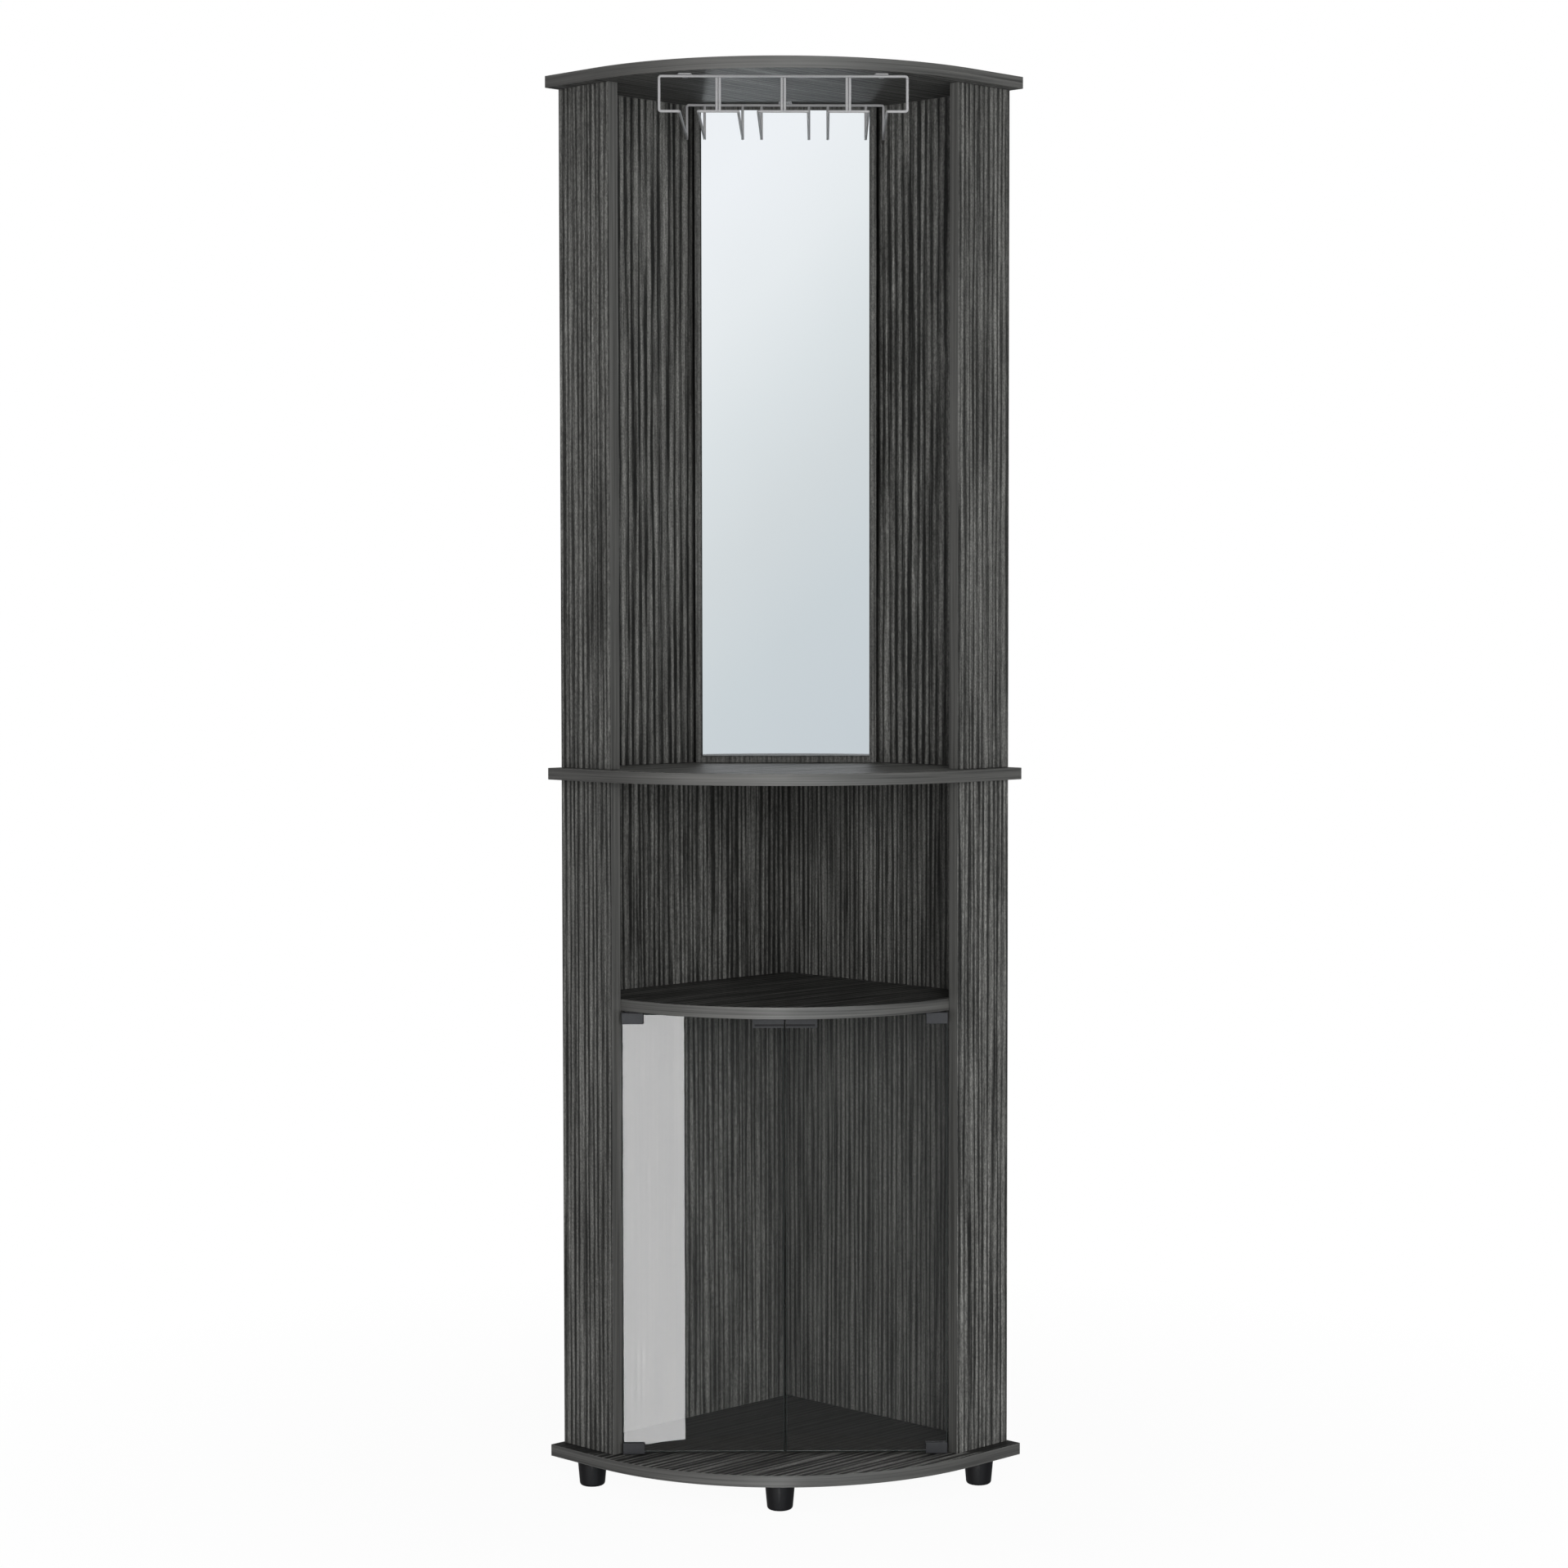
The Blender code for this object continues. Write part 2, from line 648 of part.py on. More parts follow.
def add_strike(name, side, pivot):
    """A sheet metal clip on the glass's top edge, with a pressed groove along its front."""
    depth = GLASS + 2 * (GAP + STRIKE_SHEET)
    top = glass_high + GAP + STRIKE_SHEET
    x = side * (glass_inner + STRIKE_LENGTH / 2)
    size = (STRIKE_LENGTH, depth, STRIKE_HEIGHT)
    place = (x, pivot_y, top - STRIKE_HEIGHT / 2)
    strike = add_part(f"{name}_strike_plate", block_mesh(size), "dark metal", place, parent=pivot)
    slot_height = STRIKE_HEIGHT - STRIKE_SHEET + OVERRUN
    slot = block_mesh((STRIKE_LENGTH + 2 * OVERRUN, GLASS + 2 * GAP, slot_height))
    slot_z = top - STRIKE_SHEET - slot_height / 2
    cut(strike, add_cutter(f"{name}_strike_slot", slot, (x, pivot_y, slot_z)))
    groove_depth = STRIKE_GROOVE_DEPTH + OVERRUN
    groove = block_mesh((STRIKE_LENGTH - 2 * STRIKE_GROOVE_MARGIN, groove_depth, STRIKE_GROOVE_HEIGHT))
    groove_y = pivot_y - depth / 2 + STRIKE_GROOVE_DEPTH - groove_depth / 2
    groove_z = top - STRIKE_HEIGHT + STRIKE_GROOVE_RISE + STRIKE_GROOVE_HEIGHT / 2
    cut(strike, add_cutter(f"{name}_strike_groove", groove, (x, groove_y, groove_z)))


def build_door(name, side):
    pivot = add_pivot(f"{name}_door_pivot", (side * pivot_x, pivot_y, floor_z))
    size = (glass_outer - glass_inner, GLASS, glass_high - glass_low)
    middle = (side * (glass_outer + glass_inner) / 2, pivot_y, (glass_low + glass_high) / 2)
    glass = add_part(f"{name}_door_glass", block_mesh(size), "clear glass", middle, parent=pivot)
    chamfer(glass, GLASS_CHAMFER)
    for end in PIVOT_ENDS:
        add_clamp(f"{name}_{end}", side, end, pivot)
        add_clamp_liner(f"{name}_{end}", side, end, pivot)
        add_pivot_pin(f"{name}_{end}", side, end, pivot)
    add_strike(name, side, pivot)


def build_bushes(boards):
    """Flanged nylon bushes, let into the bottom panel and the underside of the shelf."""
    bore = PIN_RADIUS + GAP
    flange_top = GAP + BUSH_FLANGE_THICKNESS
    depth = PIN_DEPTH + BUSH_PAST_PIN
    profile = [
        (bush_radius + BUSH_FLANGE, flange_top),
        (bush_radius + BUSH_FLANGE, GAP),
        (bush_radius, GAP),
        (bush_radius, -depth),
        (bore, -depth),
        (bore, flange_top),
    ]
    bush = turned_mesh(profile, closed=True)
    carriers = {"lower": boards["bottom_panel"], "upper": boards["inner_shelf"]}
    for end, (board_z, up) in PIVOT_ENDS.items():
        turn = (0, 0, 0) if up > 0 else UPSIDE_DOWN
        hole_length = depth + GAP + OVERRUN
        hole_z = board_z + up * (hole_length / 2 - depth - GAP)
        for name, side in SIDES.items():
            place = (side * pivot_x, pivot_y, board_z)
            shade_round(add_part(f"{name}_{end}_pivot_bush", bush.copy(), "nylon", place, turn))
            hole = cylinder_mesh(bush_radius + GAP, hole_length)
            hole_place = (side * pivot_x, pivot_y, hole_z)
            cut(carriers[end], add_cutter(f"{name}_{end}_bush_hole", hole, hole_place))


# Touch catch, screwed under the shelf behind the meeting edges of the doors
strike_rear = pivot_y + GLASS / 2 + GAP + STRIKE_SHEET
plunger_tip = strike_rear + GAP
catch_front = plunger_tip + PLUNGER_SHOWS
catch_y = catch_front + CATCH_DEPTH / 2
catch_z = ceiling_z - GAP - CATCH_HEIGHT / 2
plunger_x = glass_inner + STRIKE_LENGTH / 2


def spring_points(x):
    """A coil along +Y behind the plunger, from its tail to the end of the bore."""
    start = catch_front + PLUNGER_IN_BORE + GAP + SPRING_WIRE_RADIUS
    end = catch_front + CATCH_BORE_DEPTH - GAP - SPRING_WIRE_RADIUS
    count = SPRING_TURNS * SPRING_POINTS_PER_TURN
    points = []
    for step in range(count + 1):
        angle = tau * step / SPRING_POINTS_PER_TURN
        y = between(start, end, step / count)
        points.append((x + SPRING_RADIUS * cos(angle), y, catch_z + SPRING_RADIUS * sin(angle)))
    return points


def build_plunger(name, side, housing):
    """A plunger that stands out of the housing, its bore and the spring behind it."""
    x = side * plunger_x
    length = PLUNGER_SHOWS + PLUNGER_IN_BORE
    profile = [
        (0, length),
        (PLUNGER_RADIUS, length),
        (PLUNGER_RADIUS, PLUNGER_CHAMFER),
        (PLUNGER_RADIUS - PLUNGER_CHAMFER, 0),
        (0, 0),
    ]
    place = (x, plunger_tip, catch_z)
    shade_round(add_part(f"{name}_catch_plunger", turned_mesh(profile), "black plastic", place, FACING_BACK))
    bore = cylinder_mesh(PLUNGER_RADIUS + GAP, CATCH_BORE_DEPTH + OVERRUN)
    bore_y = catch_front + (CATCH_BORE_DEPTH - OVERRUN) / 2
    cut(housing, add_cutter(f"{name}_plunger_bore", bore, (x, bore_y, catch_z), FACING_BACK))
    coil = wire_mesh(spring_points(x), SPRING_WIRE_RADIUS, SPRING_RESOLUTION)
    add_part(f"{name}_catch_spring", coil, "steel")


def build_catch(shelf):
    size = (CATCH_LENGTH, CATCH_DEPTH, CATCH_HEIGHT)
    housing = add_part("catch_housing", block_mesh(size), "black plastic", (0, catch_y, catch_z))
    chamfer(housing, CATCH_CHAMFER)
    for name, side in SIDES.items():
        build_plunger(name, side, housing)
    spread = CATCH_DEPTH / 2 - CATCH_SCREW_MARGIN
    for name, shift in {"front": -spread, "rear": spread}.items():
        place = (0, catch_y + shift, catch_z - CATCH_HEIGHT / 2)
        hole = add_screw(f"{name}_catch_screw", CATCH_SCREW, place, sunk=True)
        cut(housing, hole)
        cut(shelf, hole)


def build_cabinet():
    boards = build_plates()
    build_panels()
    build_mirror()
    build_feet(boards["bottom_panel"])
    build_rack_front(boards["top_panel"])
    build_rack_loops()
    build_rack_rear(boards["top_panel"])
    for name, side in SIDES.items():
        build_door(name, side)
    build_bushes(boards)
    build_catch(boards["inner_shelf"])


build_cabinet()
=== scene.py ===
import bpy
from math import atan2, cos, radians, sin, sqrt
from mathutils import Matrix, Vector


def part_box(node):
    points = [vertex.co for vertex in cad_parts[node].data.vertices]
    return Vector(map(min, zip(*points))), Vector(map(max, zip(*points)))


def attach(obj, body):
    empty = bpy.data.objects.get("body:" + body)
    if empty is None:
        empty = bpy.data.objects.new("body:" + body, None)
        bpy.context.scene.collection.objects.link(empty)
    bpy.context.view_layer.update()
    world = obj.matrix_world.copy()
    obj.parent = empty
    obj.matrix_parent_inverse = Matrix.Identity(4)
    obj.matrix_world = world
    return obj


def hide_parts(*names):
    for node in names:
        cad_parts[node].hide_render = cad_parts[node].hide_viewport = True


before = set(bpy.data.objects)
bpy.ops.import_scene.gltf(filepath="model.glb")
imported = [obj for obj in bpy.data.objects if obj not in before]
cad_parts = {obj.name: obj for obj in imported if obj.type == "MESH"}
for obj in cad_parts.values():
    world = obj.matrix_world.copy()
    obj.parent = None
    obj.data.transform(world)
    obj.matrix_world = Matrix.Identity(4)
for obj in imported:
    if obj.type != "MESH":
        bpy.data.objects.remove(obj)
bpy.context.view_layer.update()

# levels and plan of the cabinet, in metres; the room's corner is behind the middle
cabinet = {
    "board": 0.015,
    "cornerY": 0.23509,
    "plateZ": 0.034,
    "floorZ": 0.049,
    "ceilingZ": 0.619,
    "middleZ": 0.9115,
    "counterZ": 0.9265,
    "roofZ": 1.791,
    "gap": 0.0003,  # between pieces that would touch
    "rim": 0.0005,  # softening of the boards' rims
}
sides = {"left": -1, "right": 1}
# in degrees; a small angle keeps a board's broad faces truly flat
smoothAngles = {"board": 10, "screw": 30, "roundPiece": 35, "wire": 40}


def deselectAll():
    if bpy.context.object and bpy.context.object.mode != "OBJECT":
        bpy.ops.object.mode_set(mode="OBJECT")
    bpy.ops.object.select_all(action="DESELECT")


def wallPoint(side, along, out, height):  # along the wall from the corner, then out from it
    return Vector((side * (along - out) / sqrt(2), cabinet["cornerY"] - (along + out) / sqrt(2), height))


def clearPick(kind):
    bpy.ops.object.mode_set(mode="EDIT")
    bpy.ops.mesh.select_mode(type=kind)
    bpy.ops.mesh.select_all(action="DESELECT")
    bpy.ops.object.mode_set(mode="OBJECT")


def pickFaces(piece, wanted):  # leaves edit mode with only the wanted faces selected
    clearPick("FACE")
    for face in piece.data.polygons:
        face.select = wanted(face)
    bpy.ops.object.mode_set(mode="EDIT")


def pickEdges(piece, wanted):  # the same with edges; wanted looks at an edge's two ends
    clearPick("EDGE")
    points = piece.data.vertices
    for edge in piece.data.edges:
        edge.select = wanted(points[edge.vertices[0]].co, points[edge.vertices[1]].co)
    bpy.ops.object.mode_set(mode="EDIT")


def bevelEdges(size, steps, **settings):
    bpy.ops.mesh.bevel(offset=size, segments=steps, affect="EDGES", **settings)


def extrudeBy(shift):
    bpy.ops.mesh.extrude_region_move(TRANSFORM_OT_translate={"value": shift})


def smoothBelow(degrees):
    bpy.ops.object.mode_set(mode="OBJECT")
    bpy.ops.object.shade_smooth_by_angle(angle=radians(degrees))


def applyPlace():
    bpy.ops.object.transform_apply(location=True, rotation=True, scale=True)


def nameAs(piece, name):
    piece.name = name
    piece.data.name = name


def startBlock(name, middle, size, turn=0):
    deselectAll()
    bpy.ops.mesh.primitive_cube_add(size=1, location=middle, rotation=(0, 0, turn), scale=size)
    piece = bpy.context.object
    nameAs(piece, name)
    applyPlace()
    return piece


def startBlockLike(name, node):  # a block as large as a CAD node
    lowCorner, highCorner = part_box(node)
    return startBlock(name, (lowCorner + highCorner) / 2, highCorner - lowCorner)


def copyPiece(piece, name, shift):
    deselectAll()
    piece.select_set(True)
    bpy.context.view_layer.objects.active = piece
    bpy.ops.object.duplicate(linked=False)
    made = bpy.context.object
    nameAs(made, name)
    bpy.ops.transform.translate(value=shift)
    applyPlace()
    return made


def joinAll(name, parts):
    deselectAll()
    for part in parts:
        part.select_set(True)
    bpy.context.view_layer.objects.active = parts[0]
    bpy.ops.object.join()
    made = bpy.context.object
    nameAs(made, name)
    return made


def giveFinish(piece, *finishes):
    piece.data.materials.clear()
    for finish in finishes:
        piece.data.materials.append(finish)


def paintFaces(piece, number, wanted):  # number counts the piece's finishes from 0
    pickFaces(piece, wanted)
    piece.active_material_index = number
    bpy.ops.object.material_slot_assign()
    bpy.ops.object.mode_set(mode="OBJECT")


def placePiece(piece, body, slotName, *nodes):
    deselectAll()
    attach(piece, body)
    if nodes:
        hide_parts(*nodes)


# Materials

class Nodes:
    # the node tree of a material or the world, with short ways to add and join nodes
    def __init__(self, owner):
        owner.use_nodes = True
        self.owner = owner
        self.tree = owner.node_tree
        self.shader = self.tree.nodes.get("Principled BSDF")
        self.column = -300

    def add(self, kind, **settings):
        node = self.tree.nodes.new(kind)
        node.location = (self.column, 0)
        self.column -= 180
        for key, value in settings.items():
            setattr(node, key, value)
        return node

    def join(self, source, target):
        self.tree.links.new(source, target)

    def fill(self, value, socket):  # value is a colour, a number or another node's output
        if isinstance(value, tuple):
            socket.default_value = (*value, 1)
        elif isinstance(value, (int, float)):
            socket.default_value = value
        else:
            self.join(value, socket)

    def give(self, socketName, value):
        self.fill(value, self.shader.inputs[socketName])

    def place(self, scale, shift=(0, 0, 0), turn=(0, 0, 0)):  # Object coordinates, scaled, turned, shifted
        coords = self.add("ShaderNodeTexCoord")
        mapping = self.add("ShaderNodeMapping")
        mapping.inputs["Location"].default_value = shift
        mapping.inputs["Rotation"].default_value = turn
        mapping.inputs["Scale"].default_value = scale
        self.join(coords.outputs["Object"], mapping.inputs["Vector"])
        return mapping.outputs["Vector"]

    def axis(self, letter):  # one of the Object coordinates
        coords = self.add("ShaderNodeTexCoord")
        axes = self.add("ShaderNodeSeparateXYZ")
        self.join(coords.outputs["Object"], axes.inputs[0])
        return axes.outputs[letter]

    def noise(self, vector, scale=1.0, detail=2.0, roughness=0.5):
        node = self.add("ShaderNodeTexNoise")
        node.inputs["Scale"].default_value = scale
        node.inputs["Detail"].default_value = detail
        node.inputs["Roughness"].default_value = roughness
        self.join(vector, node.inputs["Vector"])
        return node.outputs["Fac"]

    def ramp(self, value, stops):
        node = self.add("ShaderNodeValToRGB")
        elements = node.color_ramp.elements
        while len(elements) < len(stops):
            elements.new(0.5)
        for element, (position, colour) in zip(elements, stops):
            element.position = position
            element.color = (*colour, 1) if isinstance(colour, tuple) else (colour, colour, colour, 1)
        self.join(value, node.inputs["Fac"])
        return node.outputs["Color"]

    def mix(self, first, second, factor=1.0, blend="MULTIPLY"):
        node = self.add("ShaderNodeMix", data_type="RGBA", blend_type=blend)
        self.fill(factor, node.inputs["Factor"])
        self.fill(first, node.inputs[6])
        self.fill(second, node.inputs[7])
        return node.outputs[2]

    def math(self, operation, *values):
        node = self.add("ShaderNodeMath", operation=operation)
        for value, socket in zip(values, node.inputs):
            self.fill(value, socket)
        return node.outputs[0]

    def fade(self, value, start, end, low=0.0):  # low at the start, 1 at the end
        node = self.add("ShaderNodeMapRange", interpolation_type="SMOOTHSTEP")
        node.inputs["From Min"].default_value = start
        node.inputs["From Max"].default_value = end
        node.inputs["To Min"].default_value = low
        self.join(value, node.inputs["Value"])
        return node.outputs[0]

    def bump(self, height, strength, distance):
        node = self.add("ShaderNodeBump")
        node.inputs["Strength"].default_value = strength
        node.inputs["Distance"].default_value = distance
        self.join(height, node.inputs["Height"])
        self.give("Normal", node.outputs["Normal"])

    def mixShaders(self, factor, first, second):
        node = self.add("ShaderNodeMixShader")
        for value, socket in zip((factor, first, second), node.inputs):
            self.join(value, socket)
        return node.outputs[0]


def newMaterial(name):
    return Nodes(bpy.data.materials.new(name))


grainLook = {
    "lines": 0.32,  # weight of the even lines against the streaks
    "linesAlong": 0.018,  # how fast the lines change along the grain
    "wander": 6.5,  # how unevenly the lines are spaced
    "wanderSize": 2.2,
    "wanderDetail": 3.0,
    "wanderRoughness": 0.62,
    "streaksAcross": 2.15,  # streaks in one spacing
    "streaksAlong": 5.0,
    "streaksDetail": 5.0,
    "streaksRoughness": 0.68,
    "darkLine": 0.010,
    "dark": 0.52,  # share of the middle tone
    "middle": 0.071,
    "light": 0.148,
    "toneStops": (0.497, 0.595, 0.704, 0.911),
    "roughnessStops": ((0.464, 0.62), (0.845, 0.50)),
    "bump": 0.35,
    "flatBump": 0.08,
    "bumpDepth": 0.0005,
}
grainPatches = {  # unevenness laid over the lines; across and along are repeats in a metre
    "fibres": {
        "across": 560.0,
        "along": 70.0,
        "detail": 3.0,
        "roughness": 0.65,
        "tones": ((0.36, 0.74), (0.5, 1.0), (0.64, 1.28)),
    },
    "flecks": {
        "across": 520.0,
        "along": 330.0,
        "detail": 1.0,
        "roughness": 0.6,
        "tones": ((0.35, 0.74), (0.5, 1.0), (0.65, 1.30)),
    },
    "clouds": {
        "across": 42.0,
        "along": 5.0,
        "detail": 3.0,
        "roughness": 0.6,
        "tones": ((0.32, 0.66), (0.5, 1.0), (0.68, 1.22)),
    },
}
# painted shade: the floor of the cupboard behind the doors is made smoother and darker, for the shade it lies
# in
cupboardShadeLook = {
    "tone": (0.050, 0.050, 0.050),
    "share": 0.86,
    "dim": (0.34, 0.34, 0.34),
    "start": -0.001,
    "end": 0.010,
}
boardTint = (1.0, 1.0, 0.95)
seedShift = (0.731, 0.417, 0.239)  # each board shows another part of the pattern
waveScale = 0.31416  # the wave texture's scale that puts its lines a metre apart


def charcoalGrain(
    name, seed, spacing, turn=0.0, flat=False, depth=1.0, shade=1.0, gloss=0.30, polish=0.0,
    shadeBehindFrom=None, paintedCreaseShade=None,
):
    # spacing runs from dark line to dark line; turn brings the board's width onto X,
    # and the grain runs up, or along Y on a flat board; depth is the contrast, and
    # polish is taken off the roughness; behind a given Y the board gets painted shade,
    # smoother and darker; a crease of painted shade is dark at its start and fades out at its end,
    # measured on X to both sides of the middle, and its last number is the darkest tone
    look = grainLook
    made = newMaterial(name)
    coords = made.place((1, 1, 1), tuple(seed * part for part in seedShift), (0, 0, turn))

    def stretched(across, along):
        node = made.add("ShaderNodeVectorMath", operation="MULTIPLY")
        node.inputs[1].default_value = (across, along, 1.0) if flat else (across, 1.0, along)
        made.join(coords, node.inputs[0])
        return node.outputs["Vector"]

    lines = made.add("ShaderNodeTexWave", wave_type="BANDS", bands_direction="X", wave_profile="SIN")
    lines.inputs["Scale"].default_value = waveScale / spacing
    lines.inputs["Distortion"].default_value = look["wander"]
    lines.inputs["Detail"].default_value = look["wanderDetail"]
    lines.inputs["Detail Scale"].default_value = look["wanderSize"]
    lines.inputs["Detail Roughness"].default_value = look["wanderRoughness"]
    made.join(stretched(1.0, look["linesAlong"]), lines.inputs["Vector"])
    streaks = made.noise(
        stretched(look["streaksAcross"] / spacing, look["streaksAlong"]), 1.0,
        look["streaksDetail"], look["streaksRoughness"],
    )
    relief = made.math("MULTIPLY_ADD", lines.outputs["Fac"], look["lines"], streaks)

    tones = (look["darkLine"], look["middle"] * look["dark"], look["middle"], look["light"])
    tones = [look["middle"] * (tone / look["middle"]) ** depth for tone in tones]
    colour = made.ramp(relief, list(zip(look["toneStops"], tones)))
    for patch in grainPatches.values():
        place = stretched(patch["across"], patch["along"])
        pattern = made.noise(place, 1.0, patch["detail"], patch["roughness"])
        colour = made.mix(colour, made.ramp(pattern, patch["tones"]))
    # painted shade: behind a given Y the board is smoother and darker
    if shadeBehindFrom is not None:
        behind = made.fade(made.axis("Y"), shadeBehindFrom + cupboardShadeLook["start"], shadeBehindFrom + cupboardShadeLook["end"])
        shadedCalm = made.mix(colour, cupboardShadeLook["tone"], cupboardShadeLook["share"], "MIX")
        colour = made.mix(colour, made.mix(shadedCalm, cupboardShadeLook["dim"]), behind, "MIX")
    # painted shade: darker in a crease, towards the middle on X
    if paintedCreaseShade:
        away = made.math("ABSOLUTE", made.axis("X"))
        colour = made.mix(colour, made.fade(away, *paintedCreaseShade))
    made.give("Base Color", made.mix(colour, tuple(shade * part for part in boardTint)))
    roughness = [(stop, value - polish) for stop, value in look["roughnessStops"]]
    made.give("Roughness", made.ramp(relief, roughness))
    made.give("Specular IOR Level", gloss)
    made.bump(relief, look["flatBump"] if flat else look["bump"], look["bumpDepth"])
    return made.owner


bandLook = {
    "tone": 0.065,
    "faint": 0.48,  # how far the grain strays from the tone
    "roughness": 0.34,
    "roughnessSpread": 0.06,
    "gloss": 1.0,
    "upright": (420, 420, 3),
    "level": (4, 4, 520),
    "detail": 3.0,
    "grainRoughness": 0.6,
    "bump": 0.15,
    "bumpDepth": 0.0003,
}


def edgeBand(name, seed, scale):
    # plain strip with a faint grain along the edge
    look = bandLook
    made = newMaterial(name)
    place = made.place(scale, (seed, seed, seed))
    grain = made.noise(place, 1.0, look["detail"], look["grainRoughness"])
    low, high = look["tone"] * (1 - look["faint"]), look["tone"] * (1 + look["faint"])
    colour = made.ramp(grain, [(0.32, low), (0.5, look["tone"]), (0.68, high)])
    made.give("Base Color", made.mix(colour, boardTint))
    rough = made.ramp(grain, [(0.3, look["roughness"] + look["roughnessSpread"]), (0.7, look["roughness"])])
    made.give("Roughness", rough)
    made.give("Specular IOR Level", look["gloss"])
    made.bump(grain, look["bump"], look["bumpDepth"])
    return made.owner


speckleLook = {
    "detail": 3.0,
    "grainRoughness": 0.6,
    "patchScale": 22,
    "patchDetail": 2.0,
    "patchRoughness": 0.5,
    "patchTones": ((0.3, 0.92), (0.7, 1.06)),
    "patchGloss": 0.1,  # how far the roughness strays
    "bumpDepth": 0.0002,
}


def onShadeLine(made, shadeLine):  # 1 on a level line across the middle of a piece, 0 elsewhere
    level = made.math("COMPARE", made.axis("Z"), shadeLine["height"], shadeLine["halfWidth"])
    reach = made.math("COMPARE", made.axis("X"), 0.0, shadeLine["reach"])
    return made.math("MULTIPLY", level, reach)


def speckledFinish(
    name, tone, roughness, metallic=0.0, scale=900.0, spread=0.12, bump=0.1, specular=0.5, shadeLine=None,
):
    # paint, plastic or metal: fine mottling in colour, roughness and surface
    look = speckleLook
    made = newMaterial(name)
    grain = made.noise(made.place((scale, scale, scale)), 1.0, look["detail"], look["grainRoughness"])
    slow = made.noise(made.place((look["patchScale"],) * 3), 1.0, look["patchDetail"], look["patchRoughness"])
    fine = made.ramp(grain, [
        (0.3, tuple(part * (1 - spread) for part in tone)),
        (0.7, tuple(part * (1 + spread) for part in tone)),
    ])
    colour = made.mix(fine, made.ramp(slow, look["patchTones"]))
    # painted shade along a level line, such as the shade in a groove
    if shadeLine:
        colour = made.mix(colour, shadeLine["tone"], onShadeLine(made, shadeLine), "MIX")
    made.give("Base Color", colour)
    least, most = roughness * (1 - look["patchGloss"]), roughness * (1 + look["patchGloss"])
    made.give("Roughness", made.ramp(slow, [(0.3, least), (0.7, most)]))
    made.give("Metallic", metallic)
    made.give("Specular IOR Level", specular)
    made.bump(grain, bump, look["bumpDepth"])
    return made.owner


glassLook = {
    "tint": (0.885, 0.890, 0.880),
    "patch": 0.985,  # share of the tint where it is weakest
    "roughness": 0.0,
    "refraction": 1.45,
    "clearness": 0.9965,  # the rest is a faint haze
    "patches": (7, 7, 3),
}


def doorGlass(name):
    made = newMaterial(name)
    slow = made.noise(made.place(glassLook["patches"]))
    weak = tuple(part * glassLook["patch"] for part in glassLook["tint"])
    made.give("Base Color", made.ramp(slow, [(0.3, weak), (0.7, glassLook["tint"])]))
    made.give("Roughness", glassLook["roughness"])
    made.give("IOR", glassLook["refraction"])
    made.give("Transmission Weight", glassLook["clearness"])
    return made.owner


silverLook = {
    "dark": (0.858, 0.903, 0.932),
    "light": (0.872, 0.917, 0.947),
    "roughness": 0.02,
    "patches": (5, 5, 2),
}


def silverFinish(name):
    made = newMaterial(name)
    slow = made.noise(made.place(silverLook["patches"]))
    made.give("Base Color", made.ramp(slow, [(0.3, silverLook["dark"]), (0.7, silverLook["light"])]))
    made.give("Metallic", 1.0)
    made.give("Roughness", silverLook["roughness"])
    return made.owner


# painted shade: a black line drawn over the groove of the strike plates, for the shade in the groove
strikeGrooveShade = {"height": 0.6012, "halfWidth": 0.0013, "reach": 0.0385, "tone": (0.004, 0.004, 0.005)}

bandUp = edgeBand("bandUpright", 1.3, bandLook["upright"])
bandFlat = edgeBand("bandAlongPlate", 2.7, bandLook["level"])
silver = silverFinish("mirrorSilver")
mirrorEdge = speckledFinish("mirrorEdge", (0.16, 0.21, 0.20), 0.25)
mirrorBack = speckledFinish("mirrorBackPaint", (0.09, 0.09, 0.10), 0.6)
greyWire = speckledFinish("greyWirePaint", (0.315, 0.315, 0.32), 0.45, metallic=0.08)
blackPlastic = speckledFinish(
    "blackPlastic", (0.007, 0.007, 0.008), 0.36, scale=1500.0, spread=0.2, bump=0.2, specular=0.35,
)
clampMetal = speckledFinish("clampDarkMetal", (0.032, 0.033, 0.036), 0.44, metallic=0.25)
# its black line is painted shade in the groove
strikeMetal = speckledFinish("strikePlateMetal", (0.036, 0.037, 0.040), 0.44, metallic=0.25, shadeLine=strikeGrooveShade)
platedSteel = speckledFinish("platedSteel", (0.50, 0.50, 0.51), 0.32, metallic=1.0)
linerRubber = speckledFinish(
    "linerRubber", (0.02, 0.02, 0.02), 0.8, scale=1200.0, spread=0.2, bump=0.3, specular=0.3,
)
bushNylon = speckledFinish("bushNylon", (0.028, 0.028, 0.030), 0.5)
tapeFoam = speckledFinish(
    "tapeFoam", (0.60, 0.60, 0.58), 0.85, scale=700.0, spread=0.15, bump=0.6, specular=0.2,
)
paneGlass = doorGlass("paneGlass")
paneEdge = speckledFinish("paneGroundEdge", (0.012, 0.016, 0.015), 0.3, scale=700.0, spread=0.3, bump=0.2)
nodeFinishes = {  # for the CAD nodes that keep their shape, by the end of their names
    "_clamp": clampMetal,
    "_strike_plate": strikeMetal,
    "_liner": linerRubber,
    "_pin": platedSteel,
    "_spring": platedSteel,
    "_bush": bushNylon,
    "_housing": blackPlastic,
    "_tape": tapeFoam,
}
for name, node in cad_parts.items():
    for ending, finish in nodeFinishes.items():
        if name.endswith(ending):
            giveFinish(node, finish)
print("materials made")

# Boards

